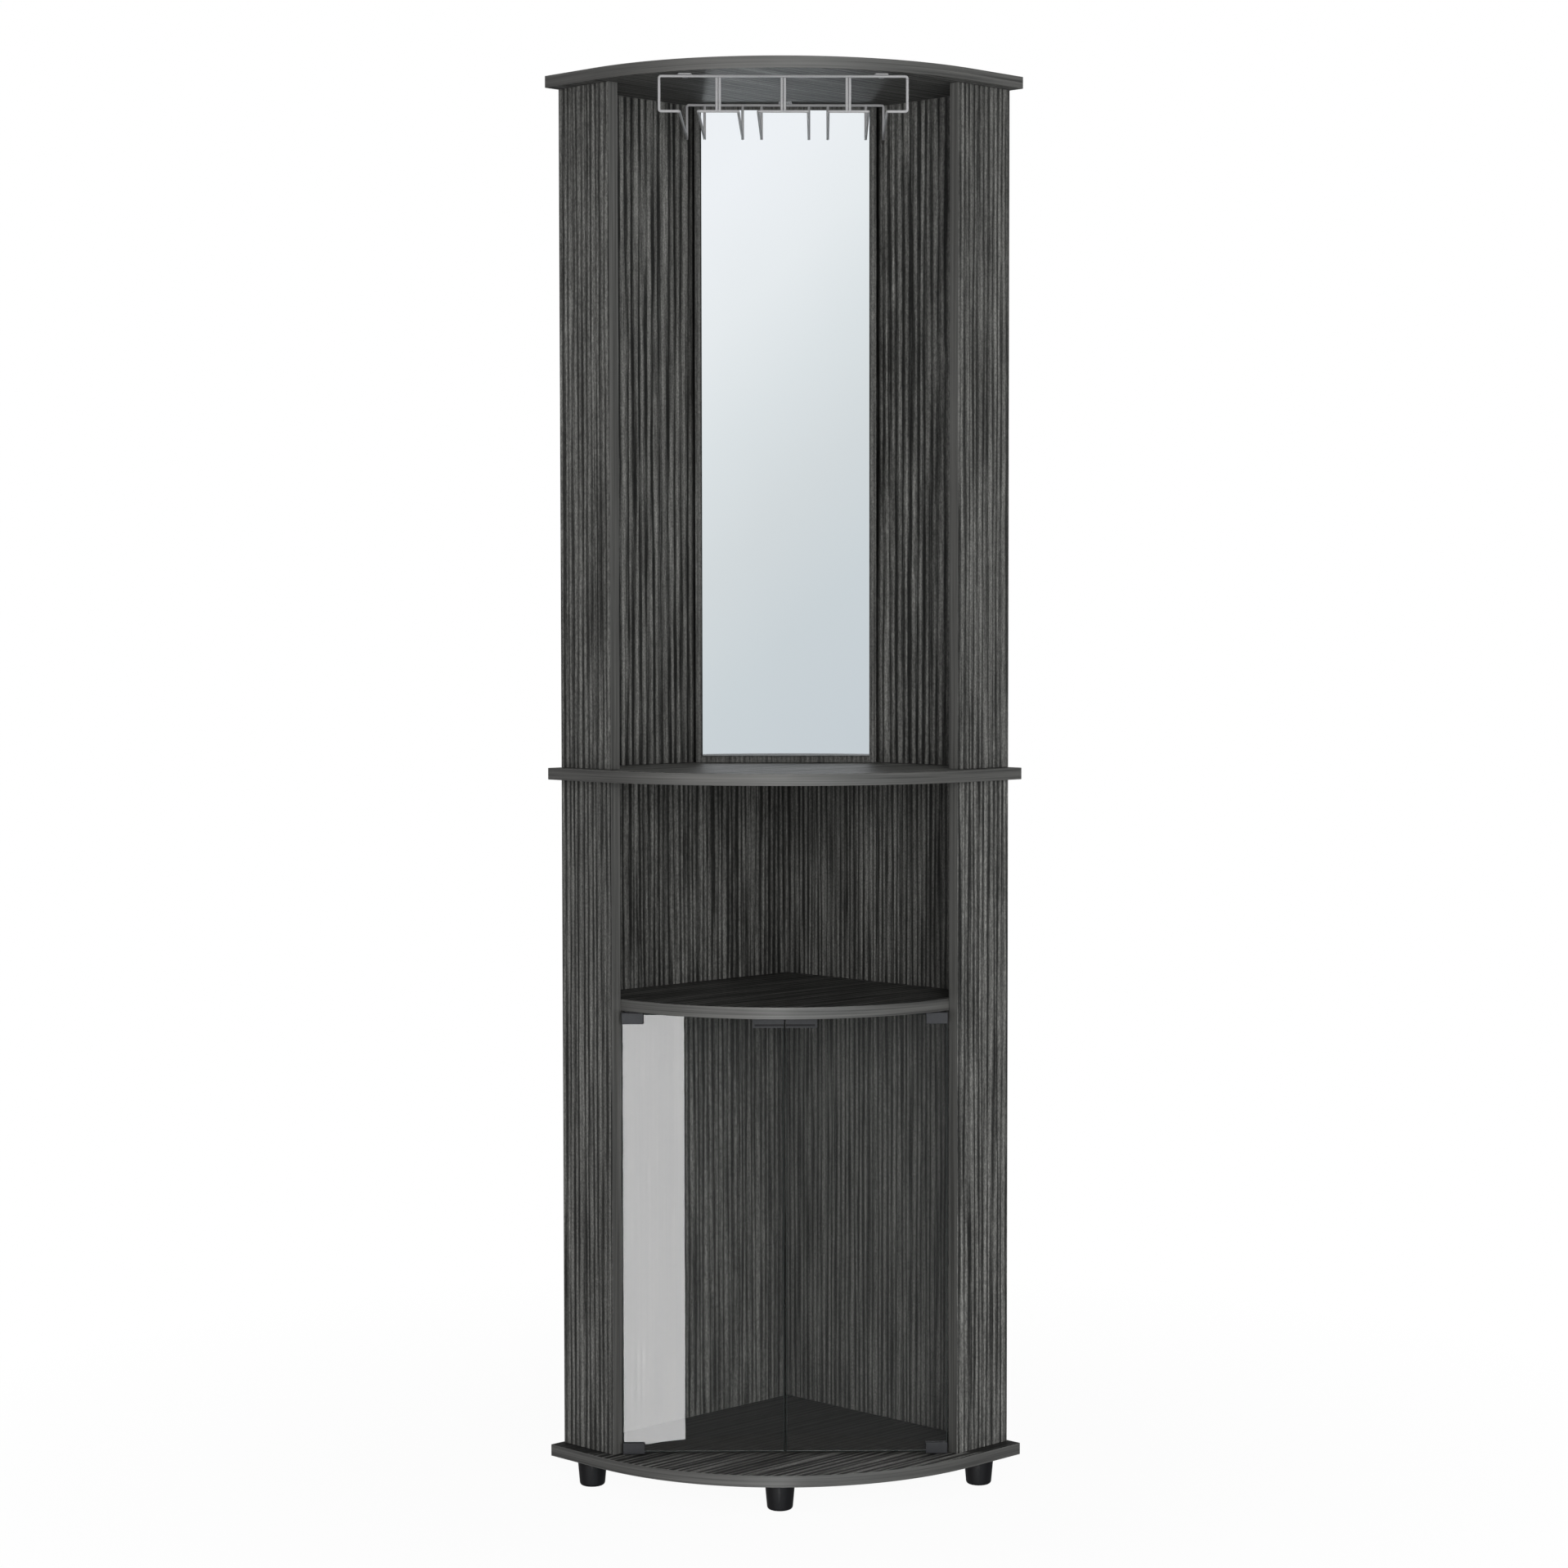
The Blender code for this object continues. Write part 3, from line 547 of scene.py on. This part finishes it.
plateShape = {"near": 0.0, "far": 0.430, "frontRadius": 0.333, "steps": 72}
shelfShape = {"near": 0.0208, "far": 0.3967, "frontRadius": 0.273, "steps": 60}
plateSpacing = 0.0105
plates = {
    "top_panel": {
        "low": cabinet["roofZ"],
        "shape": plateShape,
        "grain": {"seed": 1, "depth": 0.34, "shade": 1.12, "gloss": 0.33},
    },
    "middle_panel": {
        "low": cabinet["middleZ"],
        "shape": plateShape,
        # painted sheen: the colour is raised well above the other boards', for the bright sheen its top shows
        # at a low angle
        "grain": {"seed": 2, "depth": 0.85, "shade": 1.9, "gloss": 0.58, "polish": 0.07},
    },
    "bottom_panel": {
        "low": cabinet["plateZ"],
        "shape": plateShape,
        # painted shade on the floor of the cupboard behind the doors
        "grain": {"seed": 3, "depth": 1.6, "shade": 0.95, "gloss": 0.35, "shadeBehindFrom": -0.1225},
    },
    "inner_shelf": {
        "low": cabinet["ceilingZ"],
        "shape": shelfShape,
        # painted shade: the shelf's colour is darker, for the shade it lies in under the middle plate
        "grain": {"seed": 4, "depth": 1.25, "shade": 0.66},
    },
}


def softenRims(piece, size):
    pickEdges(piece, lambda a, b: False)
    bpy.ops.mesh.edges_select_sharp(sharpness=radians(40))
    bevelEdges(size, 2, profile=0.5)
    smoothBelow(smoothAngles["board"])


def coverBoard(piece, grain, band, broad):  # broad is the way the board's large faces look
    softenRims(piece, cabinet["rim"])
    giveFinish(piece, grain, band)
    paintFaces(piece, 1, lambda face: abs(face.normal.dot(broad)) < 0.9)


def makePlate(name, low, shape, grain):
    near, far = shape["near"], shape["far"]
    middle = wallPoint(1, (near + far) / 2, (near + far) / 2, low + cabinet["board"] / 2)
    piece = startBlock(f"{name}_board", middle, (far - near, far - near, cabinet["board"]), radians(45))
    frontY = wallPoint(1, far, far, 0).y
    pickEdges(piece, lambda a, b: abs(a.y - frontY) < 0.002 and abs(b.y - frontY) < 0.002)
    bevelEdges(shape["frontRadius"], shape["steps"], profile=0.5, clamp_overlap=False)
    coverBoard(piece, grain, bandFlat, Vector((0, 0, 1)))
    placePiece(piece, "cabinet", "charcoal_board", name)
    return piece


for name, plate in plates.items():
    grain = charcoalGrain(f"{name}Grain", spacing=plateSpacing, turn=radians(45), flat=True, **plate["grain"])
    piece = makePlate(name, plate["low"], plate["shape"], grain)
    if name == "top_panel":
        piece.visible_glossy = False  # the mirror shows the bright room and no board above it
print("plates and shelf made")

panelShape = {
    "sideAlong": (0.397, 0.412),
    "sideOut": (0.0055, 0.1015),
    "backOut": (0.0055, 0.0205),
    "backEnd": 0.3967,
    "leftStart": 0.0055,
    "rightStart": 0.0208,
}
bays = {"lower": (cabinet["floorZ"], cabinet["middleZ"]), "upper": (cabinet["counterZ"], cabinet["roofZ"])}
panelGrains = {
    "upper_side": {"spacing": 0.0089, "depth": 0.70},
    "lower_side": {"spacing": 0.0089, "depth": 0.78},
    "upper_back": {
        "spacing": 0.0124,
        "depth": 1.00,
        # painted shade in the groove beside the mirror's board
        "paintedCreaseShade": (0.1215, 0.1290, 0.20),  # the groove beside the mirror's board
    },
    "lower_back": {
        "spacing": 0.0088,
        "depth": 0.84,
        # painted shade in the corner of the lower bay
        "paintedCreaseShade": (0.0, 0.040, 0.74),  # the corner of the lower bay
    },
}
boardShades = {  # each board's colour is scaled by its own factor
    "upper_left_side_panel": 1.20,
    "upper_right_side_panel": 1.20,
    "lower_left_side_panel": 1.20,
    "lower_right_side_panel": 1.20,
    "upper_left_back_panel": 1.0,
    "upper_right_back_panel": 1.24,
    "lower_left_back_panel": 0.93,
    "lower_right_back_panel": 1.15,
}


def makePanel(bay, sideName, kind, along, out, seed):
    name = f"{bay}_{sideName}_{kind}_panel"
    side = sides[sideName]
    low, high = bays[bay][0] + cabinet["gap"], bays[bay][1] - cabinet["gap"]
    middle = wallPoint(side, sum(along) / 2, sum(out) / 2, (low + high) / 2)
    size = (along[1] - along[0], out[1] - out[0], high - low)
    piece = startBlock(f"{name}_board", middle, size, radians(-90) + side * radians(45))
    alongWall = Vector((side, -1, 0)).normalized()
    outWall = Vector((-side, -1, 0)).normalized()
    broad, width = (alongWall, outWall) if kind == "side" else (outWall, alongWall)
    grain = charcoalGrain(
        f"{name}Grain", seed, turn=-atan2(width.y, width.x), shade=boardShades[name],
        **panelGrains[f"{bay}_{kind}"],
    )
    coverBoard(piece, grain, bandUp, broad)
    placePiece(piece, "cabinet", "charcoal_board", name)


seed = 10
for bay in bays:
    for sideName in sides:
        backAlong = (panelShape[f"{sideName}Start"], panelShape["backEnd"])
        makePanel(bay, sideName, "side", panelShape["sideAlong"], panelShape["sideOut"], seed)
        makePanel(bay, sideName, "back", backAlong, panelShape["backOut"], seed + 1)
        seed += 3
print("panels made")

# Mirror on its board

mirrorShape = {"boardWidth": 0.239, "boardFront": 0.07117, "rim": 0.0006}
mirrorGrain = {"seed": 31, "spacing": 0.0062, "depth": 0.30}
low, high = cabinet["counterZ"] + cabinet["gap"], cabinet["roofZ"] - cabinet["gap"]
board = startBlock(
    "mirror_board_board", (0, mirrorShape["boardFront"] + cabinet["board"] / 2, (low + high) / 2),
    (mirrorShape["boardWidth"], cabinet["board"], high - low),
)
coverBoard(board, charcoalGrain("mirrorBoardGrain", **mirrorGrain), bandUp, Vector((0, 1, 0)))
placePiece(board, "cabinet", "charcoal_board", "mirror_board")

mirror = startBlockLike("mirror_pane", "mirror")
softenRims(mirror, mirrorShape["rim"])
giveFinish(mirror, silver, mirrorEdge, mirrorBack)
paintFaces(mirror, 1, lambda face: abs(face.normal.y) < 0.9)
paintFaces(mirror, 2, lambda face: face.normal.y > 0.9)
placePiece(mirror, "cabinet", "mirror", "mirror")
print("mirror made")

# Stemware rack

rack = {
    "wire": 0.00175,
    "bend": 0.0027,
    "halfWidth": 0.1535,
    "halfRails": 0.1285,
    "frontY": -0.18809,
    "rearY": 0.05591,
    "barZ": 1.78785,
    "railZ": 1.74485,
    "loops": {"left": (-0.0805, 0.0497), "middle": (0.0, 0.062), "right": (0.0805, 0.0497)},
    "hangers": 0.0038,
    "endLength": 0.0005,
    "sidesOfWire": 20,
    "stepsOfBend": 8,
}
tab = {
    "x": 0.12175,
    "length": 0.017,
    "depth": 0.022,
    "thick": 0.0015,
    "ahead": 0.006,
    "round": 0.0025,
    "roundSteps": 5,
}


def bentWire(name, corners):
    # a disc pushed along the route, with a spin at each corner
    points = [Vector(corner) for corner in corners]
    start = (points[1] - points[0]).normalized()
    deselectAll()
    bpy.ops.mesh.primitive_circle_add(
        vertices=rack["sidesOfWire"], radius=rack["wire"], fill_type="NGON",
        location=points[0], rotation=start.to_track_quat("Z", "Y").to_euler(),
    )
    piece = bpy.context.object
    nameAs(piece, name)
    applyPlace()
    bpy.ops.object.mode_set(mode="EDIT")
    bpy.ops.mesh.select_mode(type="FACE")
    bpy.ops.mesh.select_all(action="SELECT")
    here = points[0]
    for before, corner, after in zip(points, points[1:], points[2:]):
        inward = (corner - before).normalized() * rack["bend"]
        onward = (after - corner).normalized() * rack["bend"]
        stop = corner - inward
        extrudeBy(stop - here)
        axis = onward.cross(inward).normalized()
        bpy.ops.mesh.spin(steps=rack["stepsOfBend"], angle=radians(90), center=stop + onward, axis=axis)
        here = corner + onward
    extrudeBy(points[-1] - here)
    bpy.ops.mesh.select_all(action="SELECT")
    bpy.ops.mesh.remove_doubles(threshold=0.00001)
    bpy.ops.mesh.normals_make_consistent(inside=False)
    smoothBelow(smoothAngles["wire"])
    return piece


def rackTab(name, x, barY, inward):
    # flat tab with rounded corners, laid on the bar
    z = cabinet["roofZ"] - cabinet["gap"] - tab["thick"] / 2
    y = barY + inward * (tab["depth"] / 2 - tab["ahead"])
    piece = startBlock(name, (x, y, z), (tab["length"], tab["depth"], tab["thick"]))
    pickEdges(piece, lambda a, b: abs(a.z - b.z) > tab["thick"] / 2)
    bevelEdges(tab["round"], tab["roundSteps"])
    smoothBelow(smoothAngles["roundPiece"])
    return piece


def finishWire(piece, *nodes):
    giveFinish(piece, greyWire)
    placePiece(piece, "cabinet", "grey_wire", *nodes)
    piece.visible_glossy = False  # not seen in the mirror, as in the photograph


join = rack["wire"] + cabinet["gap"]
drop = rack["barZ"] - rack["bend"] - rack["endLength"]
frontY, rearY, barZ, railZ = rack["frontY"], rack["rearY"], rack["barZ"], rack["railZ"]
halfWidth, halfRails = rack["halfWidth"], rack["halfRails"]
parts = [bentWire("frontBar", [
    (-halfWidth, frontY, drop),
    (-halfWidth, frontY, barZ),
    (halfWidth, frontY, barZ),
    (halfWidth, frontY, drop),
])]
for side in sides.values():
    parts.append(rackTab("tab", side * tab["x"], frontY, 1))
finishWire(joinAll("rack_front_bar_wire", parts), "rack_front_bar")
for sideName, side in sides.items():
    rail = bentWire(f"rack_{sideName}_rail_wire", [
        (side * halfWidth, frontY, drop - cabinet["gap"]),
        (side * halfWidth, frontY, railZ),
        (side * halfRails, frontY, railZ),
        (side * halfRails, rearY - join, railZ),
    ])
    finishWire(rail, f"rack_{sideName}_rail")
for loopName, (middleX, width) in rack["loops"].items():
    left, right = middleX - width / 2, middleX + width / 2
    parts = [bentWire("loop", [
        (left, rearY - join, railZ),
        (left, frontY, railZ),
        (right, frontY, railZ),
        (right, rearY - join, railZ),
    ])]
    for side in sides.values():
        x = middleX + side * rack["hangers"] / 2
        parts.append(bentWire("hanger", [(x, frontY, railZ), (x, frontY, barZ - join)]))
    finishWire(joinAll(f"rack_{loopName}_loop_wire", parts), f"rack_{loopName}_loop")
lowEnd = railZ - rack["wire"]
parts = [bentWire("rearFrame", [
    (-halfRails, rearY, lowEnd),
    (-halfRails, rearY, barZ),
    (halfRails, rearY, barZ),
    (halfRails, rearY, lowEnd),
])]
for middleX, width in rack["loops"].values():
    for side in sides.values():
        x = middleX + side * width / 2
        parts.append(bentWire("upright", [(x, rearY, lowEnd), (x, rearY, barZ)]))
parts.append(rackTab("rearTab", 0, rearY, -1))
finishWire(joinAll("rack_rear_frame_wire", parts), "rack_rear_frame")
print("rack made")

# Feet

foot = {
    "top": 0.019,
    "bottom": 0.016,
    "height": 0.0337,
    "round": 0.004,
    "roundSteps": 6,
    "rim": 0.0006,
    "rimSteps": 3,
    "recess": 0.006,
    "recessDepth": 0.018,
    "sides": 64,
}
deselectAll()
bpy.ops.mesh.primitive_cone_add(
    vertices=foot["sides"], radius1=foot["bottom"], radius2=foot["top"], depth=foot["height"],
    location=(0, 0, foot["height"] / 2),
)
firstFoot = bpy.context.object
applyPlace()
pickEdges(firstFoot, lambda a, b: max(a.z, b.z) < 0.001)
bevelEdges(foot["round"], foot["roundSteps"])
pickEdges(firstFoot, lambda a, b: min(a.z, b.z) > foot["height"] - 0.001)
bevelEdges(foot["rim"], foot["rimSteps"])
pickFaces(firstFoot, lambda face: face.normal.z < -0.99 and face.area > 0.0003)  # the face it stands on
bpy.ops.mesh.inset(thickness=foot["bottom"] - foot["round"] - foot["recess"])
extrudeBy((0, 0, foot["recessDepth"]))
smoothBelow(smoothAngles["roundPiece"])
giveFinish(firstFoot, blackPlastic)
for footName in ("left", "right", "front", "rear"):
    lowCorner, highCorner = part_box(f"{footName}_foot")
    middle = (lowCorner + highCorner) / 2
    piece = copyPiece(firstFoot, f"{footName}_foot_plastic", (middle.x, middle.y, 0))
    placePiece(piece, "cabinet", "black_plastic", f"{footName}_foot")
bpy.data.objects.remove(firstFoot)
print("feet made")

# Door panes with ground edges

pane = {"edgeRound": 0.0012, "roundSteps": 3}
for sideName in sides:
    glass = startBlockLike(f"{sideName}_door_pane", f"{sideName}_door_glass")
    pickEdges(glass, lambda a, b: True)
    bevelEdges(pane["edgeRound"], pane["roundSteps"])
    bpy.ops.object.mode_set(mode="OBJECT")
    bpy.ops.object.shade_flat()  # a smoothed rim would bend what the pane mirrors
    giveFinish(glass, paneGlass, paneEdge)
    paintFaces(glass, 1, lambda face: abs(face.normal.y) < 0.985)
    placePiece(glass, f"{sideName}_door", "clear_glass", f"{sideName}_door_glass")
    glass.visible_diffuse = False  # lamps reach the inside of the cupboard
    glass.visible_shadow = False

# Screws with a socket, their heads down; grub screws lie in the clamps

screws = {
    "foot_screw": {"radius": 0.0040, "head": 0.0025, "shank": 0.0020, "socket": 0.0017, "sunk": False},
    "rack_screw": {"radius": 0.0035, "head": 0.0020, "shank": 0.0015, "socket": 0.0015, "sunk": False},
    "catch_screw": {"radius": 0.0030, "head": 0.0020, "shank": 0.0015, "socket": 0.0012, "sunk": True},
}
grubScrew = {"radius": 0.0018, "head": 0.0020, "shank": 0.0014, "socket": 0.0009, "sunk": False}
screwForm = {
    "rim": 0.0003,
    "point": 0.0020,
    "sharpness": 0.3,  # how wide the point's end is, as a share of the shank
    "socketDepth": 0.7,  # share of the head
    "socketSides": 6,
    "sides": 30,
}


def growRing(height, factor, lift):  # pushes the picked open ring up, then scales it about the axis
    extrudeBy((0, 0, lift))
    bpy.ops.transform.resize(value=(factor, factor, 1), center_override=(0, 0, height + lift))


def makeScrew(name, shape, length):
    rim, point, head = screwForm["rim"], screwForm["point"], shape["head"]
    low = shape["radius"] - rim
    narrower = shape["shank"] / shape["radius"]
    deselectAll()
    bpy.ops.mesh.primitive_circle_add(vertices=screwForm["sides"], radius=low)
    piece = bpy.context.object
    nameAs(piece, name)
    bpy.ops.object.mode_set(mode="EDIT")
    bpy.ops.mesh.select_mode(type="EDGE")
    bpy.ops.mesh.primitive_circle_add(vertices=screwForm["socketSides"], radius=shape["socket"])
    bpy.ops.mesh.select_all(action="SELECT")
    bpy.ops.mesh.bridge_edge_loops()
    pickEdges(piece, lambda a, b: max(a.length, b.length) < shape["socket"] * 1.05)
    extrudeBy((0, 0, head * screwForm["socketDepth"]))
    bpy.ops.mesh.edge_face_add()
    pickEdges(piece, lambda a, b: min(a.length, b.length) > low * 0.97 and (a - b).length < low * 0.5)
    growRing(0, shape["radius"] / low, rim)
    if shape["sunk"]:
        growRing(rim, narrower, head - rim)
    else:
        growRing(rim, 1, head - rim)
        growRing(head, narrower, 0)
    growRing(head, 1, length - head - point)
    growRing(length - point, screwForm["sharpness"], point)
    bpy.ops.mesh.edge_face_add()
    bpy.ops.mesh.select_all(action="SELECT")
    bpy.ops.mesh.normals_make_consistent(inside=False)
    smoothBelow(smoothAngles["screw"])
    giveFinish(piece, platedSteel)
    return piece


for kind, shape in screws.items():
    place = kind.split("_")[0]
    names = [name for name in sorted(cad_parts) if name.endswith("_screw") and place in name]
    lowCorner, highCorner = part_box(names[0])
    first = makeScrew(kind, shape, highCorner.z - lowCorner.z)
    for name in names:
        lowCorner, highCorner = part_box(name)
        middle = (lowCorner + highCorner) / 2
        piece = copyPiece(first, f"{name}_steel", (middle.x, middle.y, lowCorner.z))
        placePiece(piece, "cabinet", "steel", name)
        piece.visible_glossy = kind != "rack_screw"  # the mirror shows no rack, so none of its screws
    bpy.data.objects.remove(first)

clamp = {
    "rearY": -0.1185,
    "stand": 0.0003,
    "levels": {"lower": 0.0577, "upper": 0.6103},
    "grubs": (0.1838, 0.2033),
    "grubLength": 0.0046,
}
grub = makeScrew("grub", grubScrew, clamp["grubLength"])
grub.rotation_euler = (radians(90), 0, 0)  # the head looks back
applyPlace()
for sideName, side in sides.items():
    for level, z in clamp["levels"].items():
        for number, x in enumerate(clamp["grubs"]):
            place = (side * x, clamp["rearY"] + clamp["stand"], z)
            piece = copyPiece(grub, f"{sideName}_{level}_clamp_grub_{number + 1}", place)
            placePiece(piece, f"{sideName}_door", "steel")
bpy.data.objects.remove(grub)

# Plungers of the touch catch

plunger = {"radius": 0.004, "round": 0.0014, "roundSteps": 6, "sides": 40}
for sideName in sides:
    lowCorner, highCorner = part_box(f"{sideName}_catch_plunger")
    deselectAll()
    bpy.ops.mesh.primitive_cylinder_add(
        vertices=plunger["sides"], radius=plunger["radius"], depth=highCorner.y - lowCorner.y,
        location=(lowCorner + highCorner) / 2, rotation=(radians(90), 0, 0),
    )
    piece = bpy.context.object
    nameAs(piece, f"{sideName}_catch_plunger_plastic")
    applyPlace()
    pickEdges(piece, lambda a, b: max(a.y, b.y) < lowCorner.y + 0.001)
    bevelEdges(plunger["round"], plunger["roundSteps"])
    smoothBelow(smoothAngles["roundPiece"])
    giveFinish(piece, blackPlastic)
    placePiece(piece, f"{sideName}_plunger", "black_plastic", f"{sideName}_catch_plunger")
print("doors made")

# Floor

floorLook = {
    "size": 14,
    "tone": (0.86, 0.86, 0.86),
    "roughness": 0.9,
    "glow": 0.955,  # share of plain white that the camera sees near the cabinet
    "spread": 0.55,  # the larger, the nearer the floor turns white altogether
}
deselectAll()
bpy.ops.mesh.primitive_plane_add(size=floorLook["size"], location=(0, 0, 0))
floor = bpy.context.object
floor.name = "floor"
floor.visible_glossy = False
floor.visible_transmission = False
made = newMaterial("paleFloor")
made.give("Base Color", floorLook["tone"])
made.give("Roughness", floorLook["roughness"])
glow = made.add("ShaderNodeEmission")
glow.inputs["Strength"].default_value = 1.0
rays = made.add("ShaderNodeLightPath").outputs
reach = made.add("ShaderNodeTexGradient", gradient_type="SPHERICAL")
made.join(made.place((floorLook["spread"],) * 3), reach.inputs["Vector"])
white = made.ramp(reach.outputs["Fac"], [(0.25, 1.0), (0.75, floorLook["glow"])])
share = made.math("MULTIPLY", rays["Is Camera Ray"], white)
surface = made.mixShaders(share, made.shader.outputs[0], glow.outputs[0])
made.join(surface, made.tree.nodes["Material Output"].inputs["Surface"])
floor.data.materials.append(made.owner)

# Room around it: white to the camera, a soft sweep to mirrored rays, a faint fill to the rest

sweep = {
    "toward": (-4.0, 0.0, 4.125),  # from cooler lower right to bright upper left
    "start": 0.35,
    "tones": [
        (0.00, (0.600, 0.632, 0.655)),
        (0.10, (0.640, 0.669, 0.691)),
        (0.35, (0.682, 0.710, 0.720)),
        (0.51, (0.745, 0.760, 0.760)),
        (0.66, (0.818, 0.831, 0.829)),
        (0.80, (0.913, 0.912, 0.908)),
        (0.96, (0.976, 0.963, 0.967)),
    ],
    "dimming": [(0.45, 0.22), (0.92, 1.0)],  # darker away from the front
}
# a dark card in front and low down, which the closed doors mirror
card = {"tone": 0.16, "low": -0.30, "high": -0.075, "wide": 0.20, "soft": 0.03}
fillStrength = 0.36

world = bpy.data.worlds.new("studio")
bpy.context.scene.world = world
room = Nodes(world)
room.tree.nodes.clear()


def background(colour, strength=1.0):
    node = room.add("ShaderNodeBackground")
    room.fill(colour, node.inputs["Color"])
    node.inputs["Strength"].default_value = strength
    return node.outputs[0]


direction = room.add("ShaderNodeTexCoord").outputs["Generated"]
tilt = room.add("ShaderNodeVectorMath", operation="DOT_PRODUCT")
tilt.inputs[1].default_value = sweep["toward"]
room.join(direction, tilt.inputs[0])
tones = room.ramp(room.math("ADD", tilt.outputs["Value"], sweep["start"]), sweep["tones"])
axes = room.add("ShaderNodeSeparateXYZ")
room.join(direction, axes.inputs[0])
frontward = room.math("MULTIPLY", axes.outputs["Y"], -1.0)
dimming = room.ramp(frontward, sweep["dimming"])

sideways = room.math("ABSOLUTE", axes.outputs["X"])
aboveLow = room.fade(axes.outputs["Z"], card["low"] - card["soft"], card["low"])
belowHigh = room.fade(axes.outputs["Z"], card["high"] + card["soft"], card["high"])
withinSides = room.fade(sideways, card["wide"] + card["soft"], card["wide"])
onCard = room.math("MULTIPLY", room.math("MULTIPLY", aboveLow, belowHigh), withinSides)
cardDim = room.math("SUBTRACT", 1.0, room.math("MULTIPLY", onCard, 1.0 - card["tone"]))
mirrored = room.mix(room.mix(tones, cardDim), dimming)

# through glass, the room is white behind the cabinet and the sweep in front of it
rays = room.add("ShaderNodeLightPath").outputs
through = rays["Is Transmission Ray"]
throughFront = room.math("MULTIPLY", through, room.math("GREATER_THAN", frontward, 0.0))
throughBack = room.math("SUBTRACT", through, throughFront)
seenWhite = room.math("MAXIMUM", rays["Is Camera Ray"], throughBack)
seenSweep = room.math("MAXIMUM", rays["Is Glossy Ray"], throughFront)
seenSweep = room.math("MULTIPLY", seenSweep, room.math("SUBTRACT", 1.0, seenWhite))
plain = room.mixShaders(seenWhite, background((1, 1, 1), fillStrength), background((1, 1, 1)))
surface = room.mixShaders(seenSweep, plain, background(mirrored))
room.join(surface, room.add("ShaderNodeOutputWorld").inputs["Surface"])

# Lights


def facing(direction):
    return direction.to_track_quat("-Z", "Y").to_euler()


keyLook = {"place": (1.0, -5.1, 1.45), "aim": (0, 0, 0.9), "size": 2.4, "power": 245.0}
bpy.ops.object.light_add(type="AREA", location=keyLook["place"])
key = bpy.context.object
key.name = "keyLight"
key.data.shape = "SQUARE"
key.data.size = keyLook["size"]
key.data.energy = keyLook["power"]
key.rotation_euler = facing(Vector(keyLook["aim"]) - Vector(keyLook["place"]))
key.visible_glossy = False
key.visible_camera = False

# only reflections see this tall card, which lies across the outer part of the left door
stripLook = {"place": (-0.531, -6.0, -0.66), "width": 0.338, "height": 1.92, "glow": 12.3}
deselectAll()
bpy.ops.mesh.primitive_plane_add(size=1, location=stripLook["place"], rotation=(radians(90), 0, 0))
softbox = bpy.context.object
softbox.name = "softbox"
softbox.scale = (stripLook["width"], stripLook["height"], 1)
applyPlace()
made = newMaterial("softboxGlow")
glow = made.add("ShaderNodeEmission")
glow.inputs["Strength"].default_value = stripLook["glow"]
made.join(glow.outputs[0], made.tree.nodes["Material Output"].inputs["Surface"])
softbox.data.materials.append(made.owner)
softbox.visible_camera = False
softbox.visible_diffuse = False
softbox.visible_transmission = False
softbox.visible_volume_scatter = False
softbox.visible_shadow = False

# Camera

view = {
    "place": (0.0443, -4.4501, 1.1296),
    "yaw": 0.0132,
    "pitch": -0.0511,
    "lens": 78.40,
    "shiftX": -0.05135,
}
yaw, pitch = view["yaw"], view["pitch"]
aim = Vector((sin(yaw) * cos(pitch), cos(yaw) * cos(pitch), sin(pitch)))
bpy.ops.object.camera_add(location=view["place"], rotation=facing(aim))
camera = bpy.context.object
camera.data.lens = view["lens"]
camera.data.shift_x = view["shiftX"]
bpy.context.scene.camera = camera
bpy.context.scene.view_settings.view_transform = "Standard"
print("studio set")
